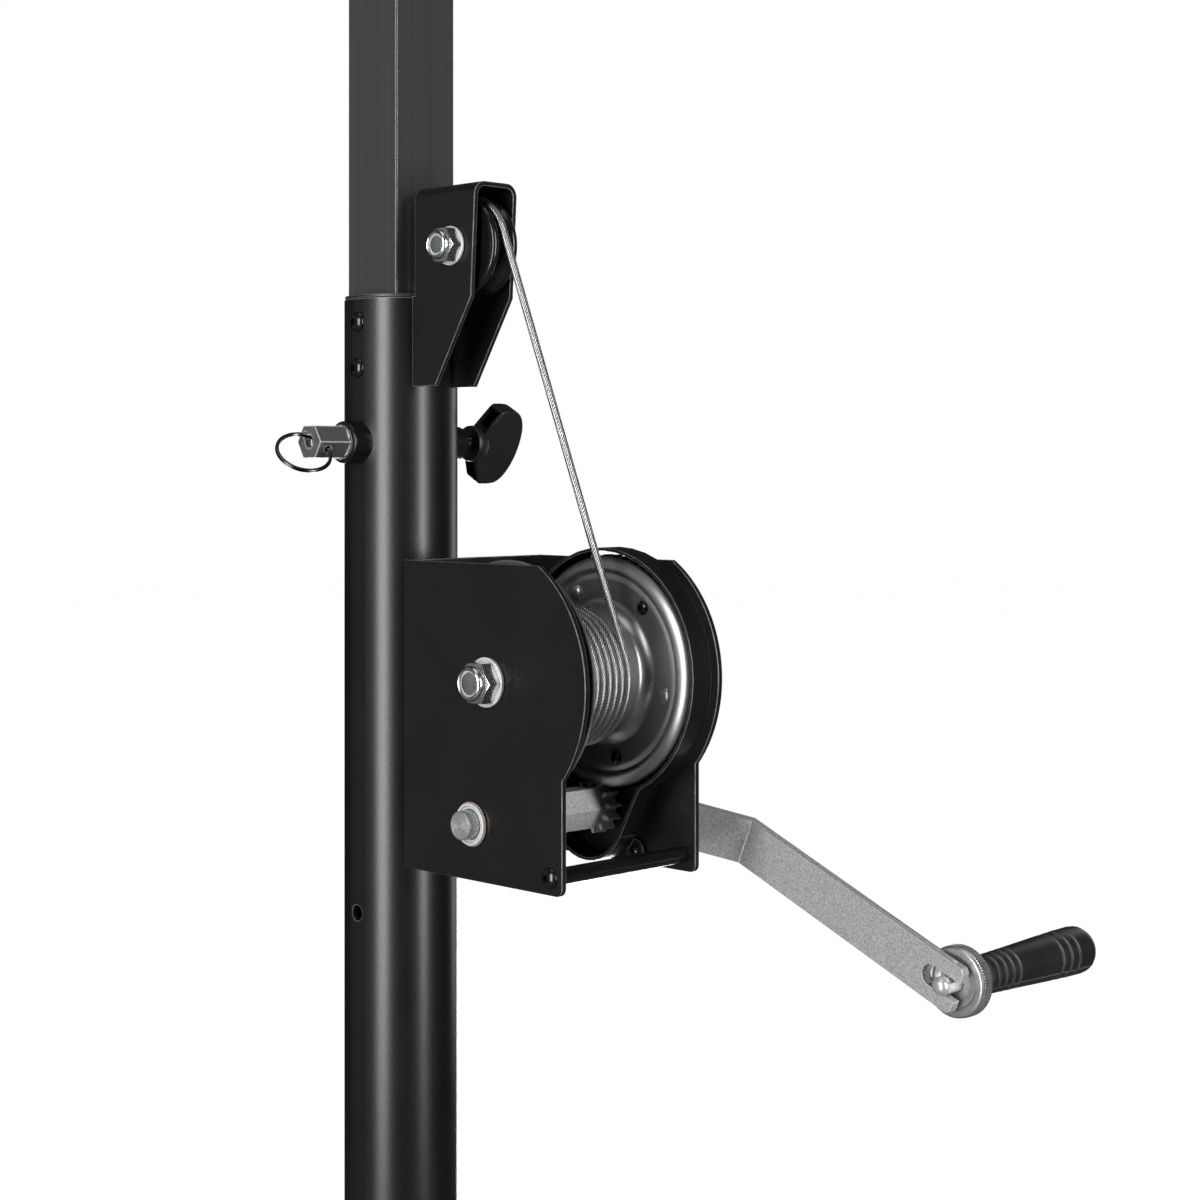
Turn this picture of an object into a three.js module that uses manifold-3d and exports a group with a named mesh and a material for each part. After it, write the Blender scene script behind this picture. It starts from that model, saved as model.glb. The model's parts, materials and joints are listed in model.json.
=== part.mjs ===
// Crank lighting stand: a tripod that carries a round steel tube, a square mast that slides in it,
// and a hand winch that lifts the mast with a wire rope.
//
// Units are millimetres and +Z is up. The origin is the centre of the base plug's underside, on the
// axis of both masts. The winch faces -Y (the "front"), and its crank is on the +X side.
// Most places are given as a distance to the front, so FRONT d is y = -d.

import * as THREE from "three";
import { mergeVertices } from "three/addons/utils/BufferGeometryUtils.js";
import Module from "manifold-3d";

const wasm = await Module();
wasm.setup();

// ---------------------------------------------------------------- driving dimensions

const GAP = 0.3; // clearance between pieces that touch

const TUBE_TOP = 1480;
const TUBE_RADIUS = 30;
const TUBE_BORE = 27.5;
const TUBE_BOTTOM = 6 + GAP;

const MAST_HALF = 20;
const MAST_CORNER = 3;
const MAST_WALL = 2;
const MAST_BOTTOM = 58 + GAP;
const MAST_TOP = 1760;
const SPIGOT_TOP = 1850;

const BUSH_DEPTH = 55;
const BUSH_LIP = 1.6;
const GUIDE_SCREW_DROPS = [12.4, 36.4];
const LOCK_Z = TUBE_TOP - 75.3; // height of the index plunger and of the clamp knob
const SPARE_HOLE_Z = TUBE_TOP - 320.8;

const ROPE_RADIUS = 2;
const ROPE_FRONT = 23.8; // where the rope hangs between the mast and the tube wall

const PULLEY_FRONT = 57.6;
const PULLEY_Z = TUBE_TOP + 24.3;
const PULLEY_RADIUS = 25.4;
const PULLEY_GROOVE = 22;
const BRACKET_HALF = 14.5;
const BRACKET_SHEET = 2.5;
const BRACKET_BEND = 7;
const BRACKET_TOP = TUBE_TOP + 56.3;
const BRACKET_BOTTOM = TUBE_TOP - 46.5;

const PLATE_OUT = 46.8; // outer face of each winch side plate, from the middle plane
const PLATE_THICK = 3;
const PLATE_IN = PLATE_OUT - PLATE_THICK;
const PLATE_REAR = 58.3;
const PLATE_LIP_FRONT = 172.1;
const PLATE_TOP = TUBE_TOP - 134.3;
const PLATE_BOTTOM = TUBE_TOP - 287.3;
const PLATE_ARC = 66.5;

const DRUM_FRONT = 121;
const DRUM_Z = TUBE_TOP - 191;
const GEAR_MODULE = 2;
const GEAR_TEETH = 58;
const PINION_TEETH = 12;
const GEAR_CENTRES = (GEAR_MODULE * (GEAR_TEETH + PINION_TEETH)) / 2;
const SHAFT_LEAN = THREE.MathUtils.degToRad(9.3); // the shaft sits below the drum and a little behind
const SHAFT_FRONT = DRUM_FRONT - GEAR_CENTRES * Math.sin(SHAFT_LEAN);
const SHAFT_Z = DRUM_Z - GEAR_CENTRES * Math.cos(SHAFT_LEAN);
const DRUM_CORE = 31;
const DRUM_FLANGE = 58;
const AXLE_RADIUS = 6;
const SHAFT_RADIUS = 7;
const GUARD_RADIUS = 62.5;
const GUARD_LOBE = 27;
const GUARD_WALL = 1.7;

const ARM_LEAN = THREE.MathUtils.degToRad(22.8); // how far the crank arm points below level
const ARM_WIDTH = 24.4;
const ARM_THICK = 5;
const ARM_HUB_X = 62.3;
const ARM_PLANE_X = 100;
const ARM_REACH = 187.5;
const ARM_END = 195;

const HUB_Z = 700; // height of the leg pivots
const PIVOT_RADIUS = 46; // distance of the leg and collar pivots from the axis
const LEG_OPEN = THREE.MathUtils.degToRad(42);
const LEG_OFFSET = 26; // leg tube's centre line outside its pivots
const LEG_RADIUS = 14;
const BRACE_SPAN = 300;
const COLLAR_Z = HUB_Z - 2 * BRACE_SPAN * Math.cos(LEG_OPEN);
const FLOOR_Z = -60;
const LEG_LENGTH = (HUB_Z - FLOOR_Z + LEG_OFFSET * Math.sin(LEG_OPEN)) / Math.cos(LEG_OPEN);
const LEG_AZIMUTHS = [90, 210, 330];

// ---------------------------------------------------------------- materials

function finish(color, roughness, metalness = 1) {
  return new THREE.MeshStandardMaterial({ color, roughness, metalness });
}

const blackCoat = finish(0x151616, 0.5, 0.2);
const mastGrey = finish(0x3a3c3c, 0.4, 0.6);
const zinc = finish(0xb9bcbe, 0.35);
const dullZinc = finish(0x9fa3a4, 0.5);
const brightSteel = finish(0xc9cbcc, 0.25);
const ropeSteel = finish(0xb4b4b0, 0.45);
const blackPlastic = finish(0x1c1e1f, 0.5, 0);
const blackRubber = finish(0x141414, 0.85, 0);

// ---------------------------------------------------------------- solids

// A closed geometry as a manifold solid, with its faces turned outwards.
function solid(geometry) {
  const bare = geometry.clone();
  bare.deleteAttribute("normal");
  bare.deleteAttribute("uv");
  const merged = mergeVertices(bare, 1e-4);
  const p = merged.attributes.position;
  const index = [];
  let volume = 0;
  const a = new THREE.Vector3();
  const b = new THREE.Vector3();
  const c = new THREE.Vector3();
  for (let i = 0; i < merged.index.count; i += 3) {
    const [i0, i1, i2] = [0, 1, 2].map((k) => merged.index.getX(i + k));
    if (i0 === i1 || i1 === i2 || i2 === i0) continue;
    a.fromBufferAttribute(p, i0);
    b.fromBufferAttribute(p, i1);
    c.fromBufferAttribute(p, i2);
    volume += a.dot(b.cross(c));
    index.push(i0, i1, i2);
  }
  if (volume < 0) index.reverse();
  return new wasm.Manifold(
    new wasm.Mesh({
      numProp: 3,
      vertProperties: new Float32Array(p.array),
      triVerts: new Uint32Array(index),
    }),
  );
}

function join(...parts) {
  return parts.reduce((sum, part) => sum.add(part));
}

function cut(body, ...tools) {
  return tools.reduce((rest, tool) => rest.subtract(tool), body);
}

function geometryOf(manifold) {
  const mesh = manifold.getMesh();
  const geometry = new THREE.BufferGeometry();
  geometry.setAttribute("position", new THREE.BufferAttribute(mesh.vertProperties, 3));
  geometry.setIndex(new THREE.BufferAttribute(mesh.triVerts, 1));
  geometry.computeVertexNormals();
  return geometry;
}

function box(x0, x1, front0, front1, z0, z1) {
  const geometry = new THREE.BoxGeometry(x1 - x0, front1 - front0, z1 - z0);
  geometry.translate((x0 + x1) / 2, -(front0 + front1) / 2, (z0 + z1) / 2);
  return solid(geometry);
}

// A turned piece about a line along X. Its outline is a list of [radius, x], closed on itself.
function turnedX(outline, front, z, segments = 16) {
  const points = outline.map(([r, x]) => new THREE.Vector2(r, x));
  points.push(points[0].clone());
  const geometry = new THREE.LatheGeometry(points, segments);
  geometry.rotateZ(-Math.PI / 2);
  geometry.translate(0, -front, z);
  return solid(geometry);
}

// A turned piece about the Z axis. Its outline is a list of [radius, z], closed on itself.
function turnedZ(outline, segments = 16) {
  const points = outline.map(([r, z]) => new THREE.Vector2(r, z));
  points.push(points[0].clone());
  const geometry = new THREE.LatheGeometry(points, segments);
  geometry.rotateX(Math.PI / 2);
  return solid(geometry);
}

function rodX(radius, x0, x1, front, z, segments = 16) {
  return turnedX([[0, x0], [radius, x0], [radius, x1], [0, x1]], front, z, segments);
}

function ringX(inner, outer, x0, x1, front, z, segments = 16) {
  return turnedX([[inner, x0], [outer, x0], [outer, x1], [inner, x1]], front, z, segments);
}

function rodZ(radius, z0, z1, segments = 16) {
  return turnedZ([[0, z0], [radius, z0], [radius, z1], [0, z1]], segments);
}

function ringZ(inner, outer, z0, z1, segments = 16) {
  return turnedZ([[inner, z0], [outer, z0], [outer, z1], [inner, z1]], segments);
}

// A flat outline drawn in (front, z), as a plate from x0 to x1.
const FRONT_UP = new THREE.Matrix4().makeBasis(
  new THREE.Vector3(0, -1, 0),
  new THREE.Vector3(0, 0, 1),
  new THREE.Vector3(-1, 0, 0),
);
function plateX(shape, x0, x1, curveSegments = 4) {
  const options = { depth: x1 - x0, bevelEnabled: false, curveSegments };
  const geometry = new THREE.ExtrudeGeometry(shape, options);
  geometry.applyMatrix4(FRONT_UP);
  geometry.translate(x1, 0, 0);
  return solid(geometry);
}

// A flat outline drawn in (x, y), as a prism from z0 to z1.
function prismZ(shape, z0, z1, curveSegments = 4) {
  const options = { depth: z1 - z0, bevelEnabled: false, curveSegments };
  const geometry = new THREE.ExtrudeGeometry(shape, options);
  geometry.translate(0, 0, z0);
  return solid(geometry);
}

function polygon(points) {
  return new THREE.Shape(points.map(([u, v]) => new THREE.Vector2(u, v)));
}

function roundedSquare(half, corner) {
  const shape = new THREE.Shape();
  const flat = half - corner;
  shape.absarc(flat, flat, corner, 0, Math.PI / 2);
  shape.absarc(-flat, flat, corner, Math.PI / 2, Math.PI);
  shape.absarc(-flat, -flat, corner, Math.PI, Math.PI * 1.5);
  shape.absarc(flat, -flat, corner, Math.PI * 1.5, Math.PI * 2);
  return shape;
}

// A hexagon with flats across the given width, a flat uppermost.
function hexagon(acrossFlats, front, z) {
  const corner = acrossFlats / Math.sqrt(3);
  const points = [0, 1, 2, 3, 4, 5].map((k) => [
    front + corner * Math.cos((k * Math.PI) / 3),
    z + corner * Math.sin((k * Math.PI) / 3),
  ]);
  return polygon(points);
}

// A bar with round ends between two points of the (front, z) plane.
function link(front0, z0, front1, z1, radius) {
  const along = Math.atan2(z1 - z0, front1 - front0);
  const shape = new THREE.Shape();
  shape.absarc(front0, z0, radius, along + Math.PI / 2, along + Math.PI * 1.5);
  shape.absarc(front1, z1, radius, along - Math.PI / 2, along + Math.PI / 2);
  return shape;
}

// A lock nut on its washer, standing off the plane x = face towards the given side.
function lockNut(acrossFlats, height, washer, bore, face, side, front, z) {
  const at = (d) => face + side * d;
  const spread = (d0, d1) => [Math.min(at(d0), at(d1)), Math.max(at(d0), at(d1))];
  const washerSpan = spread(GAP, 2);
  const hexSpan = spread(1.5, 2 + height * 0.7);
  const collarSpan = spread(2, 2 + height);
  return cut(
    join(
      rodX(washer, ...washerSpan, front, z),
      plateX(hexagon(acrossFlats, front, z), ...hexSpan),
      rodX(acrossFlats * 0.42, ...collarSpan, front, z),
    ),
    rodX(bore + GAP, ...spread(-1, height + 4), front, z),
  );
}

// A button-head screw whose head stands on the plane x = face.
function buttonScrew(headRadius, shankRadius, length, face, side, front, z) {
  const at = (d) => face + side * d;
  const outline = [
    [0, at(-length)],
    [shankRadius, at(-length)],
    [shankRadius, at(GAP)],
    [headRadius, at(GAP)],
    [headRadius * 0.93, at(1.6)],
    [headRadius * 0.6, at(3)],
    [0, at(3.3)],
  ];
  const socket = plateX(
    hexagon(headRadius * 0.75, front, z),
    Math.min(at(1.4), at(5)),
    Math.max(at(1.4), at(5)),
  );
  return cut(turnedX(outline, front, z, 16), socket);
}

// A toothed outline. The profile lists each tooth's corners as [radius, share of the tooth step].
function gearShape(teeth, front, z, phase, profile) {
  const pitch = (GEAR_MODULE * teeth) / 2;
  const step = (2 * Math.PI) / teeth;
  const shape = new THREE.Shape();
  for (let k = 0; k < teeth; k += 1) {
    const middle = phase + k * step;
    profile.forEach(([height, share], i) => {
      const radius = pitch + height * GEAR_MODULE;
      const angle = middle + share * step;
      const u = front + radius * Math.cos(angle);
      const v = z + radius * Math.sin(angle);
      if (k === 0 && i === 0) shape.moveTo(u, v);
      else shape.lineTo(u, v);
    });
  }
  shape.closePath();
  return shape;
}

// ---------------------------------------------------------------- the assembly

const group = new THREE.Group();
group.name = "crank_lighting_stand";

function add(name, manifold, material, parent = group) {
  const mesh = new THREE.Mesh(geometryOf(manifold), material);
  mesh.name = name;
  parent.add(mesh);
  return mesh;
}

// Lower tube, its guide bush and its base plug.

const screwHoles = GUIDE_SCREW_DROPS.map((drop) => rodX(3.3, -40, -24, 0, TUBE_TOP - drop, 16));
const spareHole = rodX(4, -40, -20, 0, SPARE_HOLE_Z, 16);
const plungerHole = rodX(6.5, -40, -20, 0, LOCK_Z);
const clampHole = rodX(4.6, 20, 40, 0, LOCK_Z);
add(
  "outer_tube",
  cut(
    ringZ(TUBE_BORE, TUBE_RADIUS, TUBE_BOTTOM, TUBE_TOP, 32),
    ...screwHoles,
    spareHole,
    plungerHole,
    clampHole,
  ),
  blackCoat,
);

const mastClearance = prismZ(
  roundedSquare(MAST_HALF + GAP, MAST_CORNER),
  TUBE_TOP - BUSH_DEPTH - 1,
  TUBE_TOP + 5,
);
add(
  "guide_bush",
  cut(
    join(
      rodZ(TUBE_BORE - GAP, TUBE_TOP - BUSH_DEPTH, TUBE_TOP + 1, 32),
      rodZ(TUBE_RADIUS - 0.4, TUBE_TOP + GAP, TUBE_TOP + GAP + BUSH_LIP, 32),
    ),
    mastClearance,
    ...[0, 90, 180, 270].map((turn) =>
      box(-4, 4, 22, 40, TUBE_TOP - BUSH_DEPTH - 1, TUBE_TOP).rotate([0, 0, turn + 45]),
    ),
    box(-3.4, 3.4, MAST_HALF - 1, 28.4, TUBE_TOP - BUSH_DEPTH - 1, TUBE_TOP + 5),
    ...GUIDE_SCREW_DROPS.map((drop) => rodX(2.9, -40, -22, 0, TUBE_TOP - drop, 16)),
  ),
  blackPlastic,
);

GUIDE_SCREW_DROPS.forEach((drop, i) => {
  const name = ["guide_screw_upper", "guide_screw_lower"][i];
  add(name, buttonScrew(5.4, 2.6, 7.5, -TUBE_RADIUS, -1, 0, TUBE_TOP - drop), blackCoat);
});

add(
  "base_plug",
  turnedZ([[0, 0], [TUBE_RADIUS, 0], [TUBE_RADIUS, 6], [TUBE_BORE - GAP, 6], [TUBE_BORE - GAP, 26],
    [15, 26], [15, 40 - GAP], [0, 40 - GAP]], 28),
  blackPlastic,
);

// Sliding mast, its foot that runs in the tube, the rope's anchor and the head.

add(
  "inner_mast",
  cut(
    prismZ(roundedSquare(MAST_HALF, MAST_CORNER), MAST_BOTTOM, MAST_TOP),
    prismZ(roundedSquare(MAST_HALF - MAST_WALL, 1.2), MAST_BOTTOM - 1, MAST_TOP + 1, 2),
    rodX(5, -30, -10, 0, LOCK_Z, 16),
  ),
  mastGrey,
);

add(
  "mast_slider",
  join(
    rodZ(TUBE_BORE - 0.5, 40, 58, 28),
    prismZ(roundedSquare(MAST_HALF - MAST_WALL - GAP, 1.2), 57, 90, 2),
  ),
  blackPlastic,
);

add("cable_anchor", rodZ(3.2, 58 + GAP, 74, 16).translate([0, -ROPE_FRONT, 0]), zinc);

add(
  "mast_head",
  cut(
    join(
      prismZ(roundedSquare(MAST_HALF + 1, 3), MAST_TOP + GAP, MAST_TOP + 10),
      prismZ(roundedSquare(MAST_HALF - MAST_WALL - GAP, 1.2), MAST_TOP - 40, MAST_TOP + 5, 2),
      turnedZ([[0, MAST_TOP + 5], [17.5, MAST_TOP + 5], [17.5, SPIGOT_TOP - 2], [15.5, SPIGOT_TOP],
        [0, SPIGOT_TOP]], 32),
    ),
    rodX(5, -30, 30, 0, SPIGOT_TOP - 45, 16),
  ),
  dullZinc,
);

// Pulley bracket: a sheet bent to an upside-down U, welded to the front of the tube.

function bentSheet() {
  const outer = new THREE.Shape();
  const inner = new THREE.Shape();
  const low = BRACKET_BOTTOM - 5;
  [[outer, BRACKET_HALF, BRACKET_TOP, BRACKET_BEND, low],
    [inner, BRACKET_HALF - BRACKET_SHEET, BRACKET_TOP - BRACKET_SHEET, BRACKET_BEND - BRACKET_SHEET,
      low - 5]].forEach(([shape, half, top, bend, bottom]) => {
    shape.moveTo(-half, bottom);
    shape.lineTo(half, bottom);
    shape.absarc(half - bend, top - bend, bend, 0, Math.PI / 2);
    shape.absarc(bend - half, top - bend, bend, Math.PI / 2, Math.PI);
  });
  const along = ([shape, front0, front1]) => {
    const options = { depth: front1 - front0, bevelEnabled: false, curveSegments: 6 };
    const geometry = new THREE.ExtrudeGeometry(shape, options);
    geometry.rotateX(Math.PI / 2); // drawn in (x, z), pushed to the front
    geometry.translate(0, -front0, 0);
    return solid(geometry);
  };
  return cut(along([outer, 15, 90]), along([inner, 10, 95]));
}

const bracketSide = polygon([
  [20, BRACKET_BOTTOM],
  [44.4, BRACKET_BOTTOM],
  [72.1, TUBE_TOP - 2],
  [75.4, BRACKET_TOP + 1],
  [28.5, BRACKET_TOP + 1],
  [28.5, TUBE_TOP + 0.5],
  [20, TUBE_TOP + 0.5],
]);
add(
  "pulley_bracket",
  cut(
    bentSheet().intersect(plateX(bracketSide, -20, 20)),
    rodZ(TUBE_RADIUS + GAP, BRACKET_BOTTOM - 5, TUBE_TOP + 3, 32),
    rodX(5 + GAP, -20, 20, PULLEY_FRONT, PULLEY_Z, 16),
  ),
  blackCoat,
);

add(
  "pulley",
  turnedX([[5.4, -10], [9, -10], [9, -7.6], [19, -7.6], [21, -8.5], [24.4, -8.5],
    [PULLEY_RADIUS, -7.7], [PULLEY_RADIUS, -6.6], [PULLEY_GROOVE - 0.4, -1.6],
    [PULLEY_GROOVE - 0.4, 1.6], [PULLEY_RADIUS, 6.6], [PULLEY_RADIUS, 7.7], [24.4, 8.5],
    [21, 8.5], [19, 7.6], [9, 7.6], [9, 10], [5.4, 10]],
  PULLEY_FRONT, PULLEY_Z, 32),
  blackPlastic,
);

add(
  "pulley_bolt",
  join(
    rodX(5, -26.9, BRACKET_HALF + 2, PULLEY_FRONT, PULLEY_Z, 16),
    plateX(hexagon(17, PULLEY_FRONT, PULLEY_Z), BRACKET_HALF + GAP, BRACKET_HALF + 6.5),
  ),
  zinc,
);
add("pulley_nut", lockNut(17, 9.4, 10, 5, -BRACKET_HALF, -1, PULLEY_FRONT, PULLEY_Z), zinc);

// Index plunger on the left of the tube.

const HEX_END = -61;
const BOSS_FACE = -39.5;
const RING_RADIUS = 13.8;
const RING_WIRE = 1.1;
const RING_CENTRE = new THREE.Vector3(-68, -4.8, LOCK_Z - 5.4);
const RING_NORMAL = new THREE.Vector3(-0.214, -0.639, 0.739).normalize();

// A wire ring round the pull ring's centre line.
function wireRing(wire) {
  const outline = [];
  for (let k = 0; k <= 6; k += 1) {
    const angle = (k * Math.PI) / 3;
    outline.push(new THREE.Vector2(RING_RADIUS + wire * Math.cos(angle), wire * Math.sin(angle)));
  }
  const geometry = new THREE.LatheGeometry(outline, 24);
  const turn = new THREE.Quaternion().setFromUnitVectors(new THREE.Vector3(0, 1, 0), RING_NORMAL);
  geometry.applyQuaternion(turn);
  geometry.translate(RING_CENTRE.x, RING_CENTRE.y, RING_CENTRE.z);
  return solid(geometry);
}

add(
  "plunger_boss",
  cut(
    ringX(4.4, 11, BOSS_FACE, -26, 0, LOCK_Z),
    rodX(6.3, -37, -20, 0, LOCK_Z),
    rodZ(TUBE_RADIUS + GAP, LOCK_Z - 20, LOCK_Z + 20, 24),
  ),
  blackCoat,
);
add(
  "plunger_head",
  cut(
    join(
      plateX(hexagon(16.6, 0, LOCK_Z), HEX_END, BOSS_FACE - 2),
      rodX(9.2, BOSS_FACE - 2.2, BOSS_FACE - GAP, 0, LOCK_Z),
    ),
    rodX(3.4, HEX_END - 1, HEX_END + 4, 0, LOCK_Z, 16),
    rodX(3.8 + GAP, -46.5, -30, 0, LOCK_Z, 16),
    wireRing(RING_WIRE + 1),
  ),
  zinc,
);
add(
  "plunger_pin",
  join(
    rodX(3.8, -46, -MAST_HALF - 0.4, 0, LOCK_Z, 16),
    rodX(5.9, -24.9, -22.9, 0, LOCK_Z),
  ),
  brightSteel,
);
add("plunger_spring", ringX(4.1, 5.9, -36.6, -33.4, 0, LOCK_Z, 16), brightSteel);
add("pull_ring", wireRing(RING_WIRE), brightSteel);

// Clamp knob on the right of the tube.

add(
  "clamp_boss",
  cut(
    ringX(4.5, 9, 26, 40, 0, LOCK_Z),
    rodZ(TUBE_RADIUS + GAP, LOCK_Z - 20, LOCK_Z + 20, 24),
  ),
  blackCoat,
);

const WING_LEAN = 28;
function clampKnob() {
  const wing = new THREE.Shape();
  wing.moveTo(-9, 53);
  wing.lineTo(-22.5, 60);
  wing.lineTo(-22.5, 71);
  wing.quadraticCurveTo(-14, 80.5, 0, 80.5);
  wing.quadraticCurveTo(14, 80.5, 22.5, 71);
  wing.lineTo(22.5, 60);
  wing.lineTo(9, 53);
  wing.closePath();
  const options = { depth: 10, bevelEnabled: false, curveSegments: 6 };
  const geometry = new THREE.ExtrudeGeometry(wing, options);
  geometry.translate(0, 0, -5);
  // Drawn as (span, x): the span becomes Z and the thickness Y.
  geometry.applyMatrix4(
    new THREE.Matrix4().makeBasis(
      new THREE.Vector3(0, 0, 1),
      new THREE.Vector3(1, 0, 0),
      new THREE.Vector3(0, 1, 0),
    ),
  );
  return join(
    solid(geometry),
    turnedX([[0, 47], [9, 47], [9.9, 48.5], [9.9, 58], [7, 68], [0, 68]], 0, 0),
    rodX(4, MAST_HALF + 0.4, 50, 0, 0, 16),
  );
}
add(
  "clamp_knob",
  clampKnob().rotate([WING_LEAN, 0, 0]).translate([0, 0, LOCK_Z]),
  blackPlastic,
);

// Winch frame.

add(
  "winch_mount",
  cut(
    join(
      box(-24, 24, PLATE_REAR - 3, PLATE_REAR - GAP, PLATE_BOTTOM + 15, PLATE_TOP - 10),
      ...[-12, 9].map((x) =>
        box(x, x + 3, 15, PLATE_REAR - 1, PLATE_BOTTOM + 15, PLATE_TOP - 10),
      ),
    ),
    rodZ(TUBE_RADIUS + GAP, PLATE_BOTTOM, PLATE_TOP, 32),
  ),
  blackCoat,
);

// The outline of both side plates: a rectangle whose upper front follows the drum guard.
function sidePlateShape() {
  const shape = new THREE.Shape();
  const arcTop = Math.asin((PLATE_TOP - DRUM_Z) / PLATE_ARC);
  const arcLow = -Math.acos((PLATE_LIP_FRONT - DRUM_FRONT) / PLATE_ARC);
  shape.moveTo(PLATE_REAR, PLATE_BOTTOM);
  shape.absarc(PLATE_LIP_FRONT - 4, PLATE_BOTTOM + 4, 4, -Math.PI / 2, 0);
  shape.absarc(DRUM_FRONT, DRUM_Z, PLATE_ARC, arcLow, arcTop);
  shape.lineTo(PLATE_REAR, PLATE_TOP);
  shape.closePath();
  return shape;
}
const ROD_FRONT = 163.8;
const ROD_Z = TUBE_TOP - 279.1;
const TAB_FRONT = SHAFT_FRONT + 23; // the gear guard's screwed tab
const TAB_Z = SHAFT_Z - 20.6;
const TAB_FACE = 41.8;
const PAWL_FRONT = SHAFT_FRONT + 33;
const PAWL_Z = SHAFT_Z + 13;
[["left", -1], ["right", 1]].forEach(([name, side]) => {
  const x0 = Math.min(side * PLATE_IN, side * PLATE_OUT);
  const plate = cut(
    plateX(sidePlateShape(), x0, x0 + PLATE_THICK, 12),
    rodX(AXLE_RADIUS + GAP, x0 - 1, x0 + 4, DRUM_FRONT, DRUM_Z),
    rodX(SHAFT_RADIUS + 0.5, x0 - 1, x0 + 4, SHAFT_FRONT, SHAFT_Z),
    rodX(3, x0 - 1, x0 + 4, ROD_FRONT, ROD_Z, 16),
  );
  const pawlPin = rodX(3, x0 + 2, x0 + 10, PAWL_FRONT, PAWL_Z, 16);
  const tabHole = rodX(1.8, x0 - 1, x0 + 4, TAB_FRONT, TAB_Z, 12);
  add(`side_plate_${name}`, side < 0 ? plate.add(pawlPin) : cut(plate, tabHole), blackCoat);
});

// The back plate has a notch where the gear guard reaches it.
add(
  "back_plate",
  cut(
    box(-PLATE_IN + GAP, PLATE_IN - GAP, PLATE_REAR, PLATE_REAR + 3, PLATE_BOTTOM + 4, PLATE_TOP),
    box(29, PLATE_IN + 1, PLATE_REAR - 1, PLATE_REAR + 4, DRUM_Z - 23, DRUM_Z + 23),
  ),
  blackCoat,
);

// The gear guard: a pear-shaped band round the gear and the pinion.
function pear(inset, x0, x1) {
  const neck = 50 - inset;
  const lobe = GUARD_LOBE - inset;
  const spread = Math.asin((neck - lobe) / GEAR_CENTRES);
  const down = Math.atan2(SHAFT_Z - DRUM_Z, SHAFT_FRONT - DRUM_FRONT);
  const corner = (front, z, radius, side) => {
    const angle = down + side * (Math.PI / 2 - spread);
    return [front + radius * Math.cos(angle), z + radius * Math.sin(angle)];
  };
  return join(
    rodX(GUARD_RADIUS - inset, x0, x1, DRUM_FRONT, DRUM_Z, 44),
    rodX(lobe, x0, x1, SHAFT_FRONT, SHAFT_Z, 32),
    plateX(
      polygon([
        corner(DRUM_FRONT, DRUM_Z, neck, -1),
        corner(SHAFT_FRONT, SHAFT_Z, lobe, -1),
        corner(SHAFT_FRONT, SHAFT_Z, lobe, 1),
        corner(DRUM_FRONT, DRUM_Z, neck, 1),
      ]),
      x0,
      x1,
    ),
  );
}
add(
  "gear_guard",
  cut(
    join(
      cut(pear(0, 30, PLATE_IN - GAP), pear(GUARD_WALL, 20, 50)),
      rodX(5.8, TAB_FACE, PLATE_IN - GAP, TAB_FRONT, TAB_Z, 20),
    ),
    rodX(1.8, 35, 50, TAB_FRONT, TAB_Z, 12),
  ),
  blackCoat,
);
add("guard_screw", buttonScrew(3.2, 1.5, 4.6, TAB_FACE, -1, TAB_FRONT, TAB_Z), blackCoat);

add(
  "spacer_rod",
  cut(
    rodX(4, -PLATE_IN + GAP, PLATE_IN - GAP, ROD_FRONT, ROD_Z),
    rodX(2.7, -50, -30, ROD_FRONT, ROD_Z, 16),
    rodX(2.7, 30, 50, ROD_FRONT, ROD_Z, 16),
  ),
  blackCoat,
);
add("rod_screw_left", buttonScrew(5, 2.4, 14, -PLATE_OUT, -1, ROD_FRONT, ROD_Z), blackCoat);
add("rod_screw_right", buttonScrew(5, 2.4, 14, PLATE_OUT, 1, ROD_FRONT, ROD_Z), blackCoat);

// Drum on its fixed axle.

add(
  "drum_axle",
  join(
    turnedX([[0, -61.2], [4.6, -61.2], [AXLE_RADIUS, -59.8], [AXLE_RADIUS, 48], [0, 48]],
      DRUM_FRONT, DRUM_Z),
    plateX(hexagon(19, DRUM_FRONT, DRUM_Z), PLATE_OUT + GAP, PLATE_OUT + 7.5),
  ),
  zinc,
);
add("drum_axle_nut", lockNut(19, 11, 12, AXLE_RADIUS, -PLATE_OUT, -1, DRUM_FRONT, DRUM_Z), zinc);

add(
  "drum",
  turnedX([[6.5, -42], [9, -42], [9, -33.4], [DRUM_FLANGE, -33.4], [DRUM_FLANGE, -31],
    [DRUM_CORE, -31], [DRUM_CORE, 27], [36, 30.8], [48, 30.8], [50, 29.6], [DRUM_FLANGE, 29.6],
    [DRUM_FLANGE, 33.2], [50, 33.2], [48, 33.9], [6.5, 33.9]],
  DRUM_FRONT, DRUM_Z, 32),
  zinc,
);

const SHAFT_ANGLE = Math.atan2(SHAFT_Z - DRUM_Z, SHAFT_FRONT - DRUM_FRONT);
const PINION_PHASE = SHAFT_ANGLE + Math.PI + Math.PI / PINION_TEETH;
const GEAR_TOOTH = [[-1.2, -0.28], [0.45, -0.04], [0.45, 0.04], [-1.2, 0.28]];
const PINION_TOOTH = [[-1.2, -0.27], [0.85, -0.1], [0.85, 0.1], [-1.2, 0.27]];
add(
  "drum_gear",
  cut(
    plateX(gearShape(GEAR_TEETH, DRUM_FRONT, DRUM_Z, SHAFT_ANGLE, GEAR_TOOTH), 34.3, 41.5),
    rodX(6.5, 30, 45, DRUM_FRONT, DRUM_Z),
  ),
  dullZinc,
);

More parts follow.
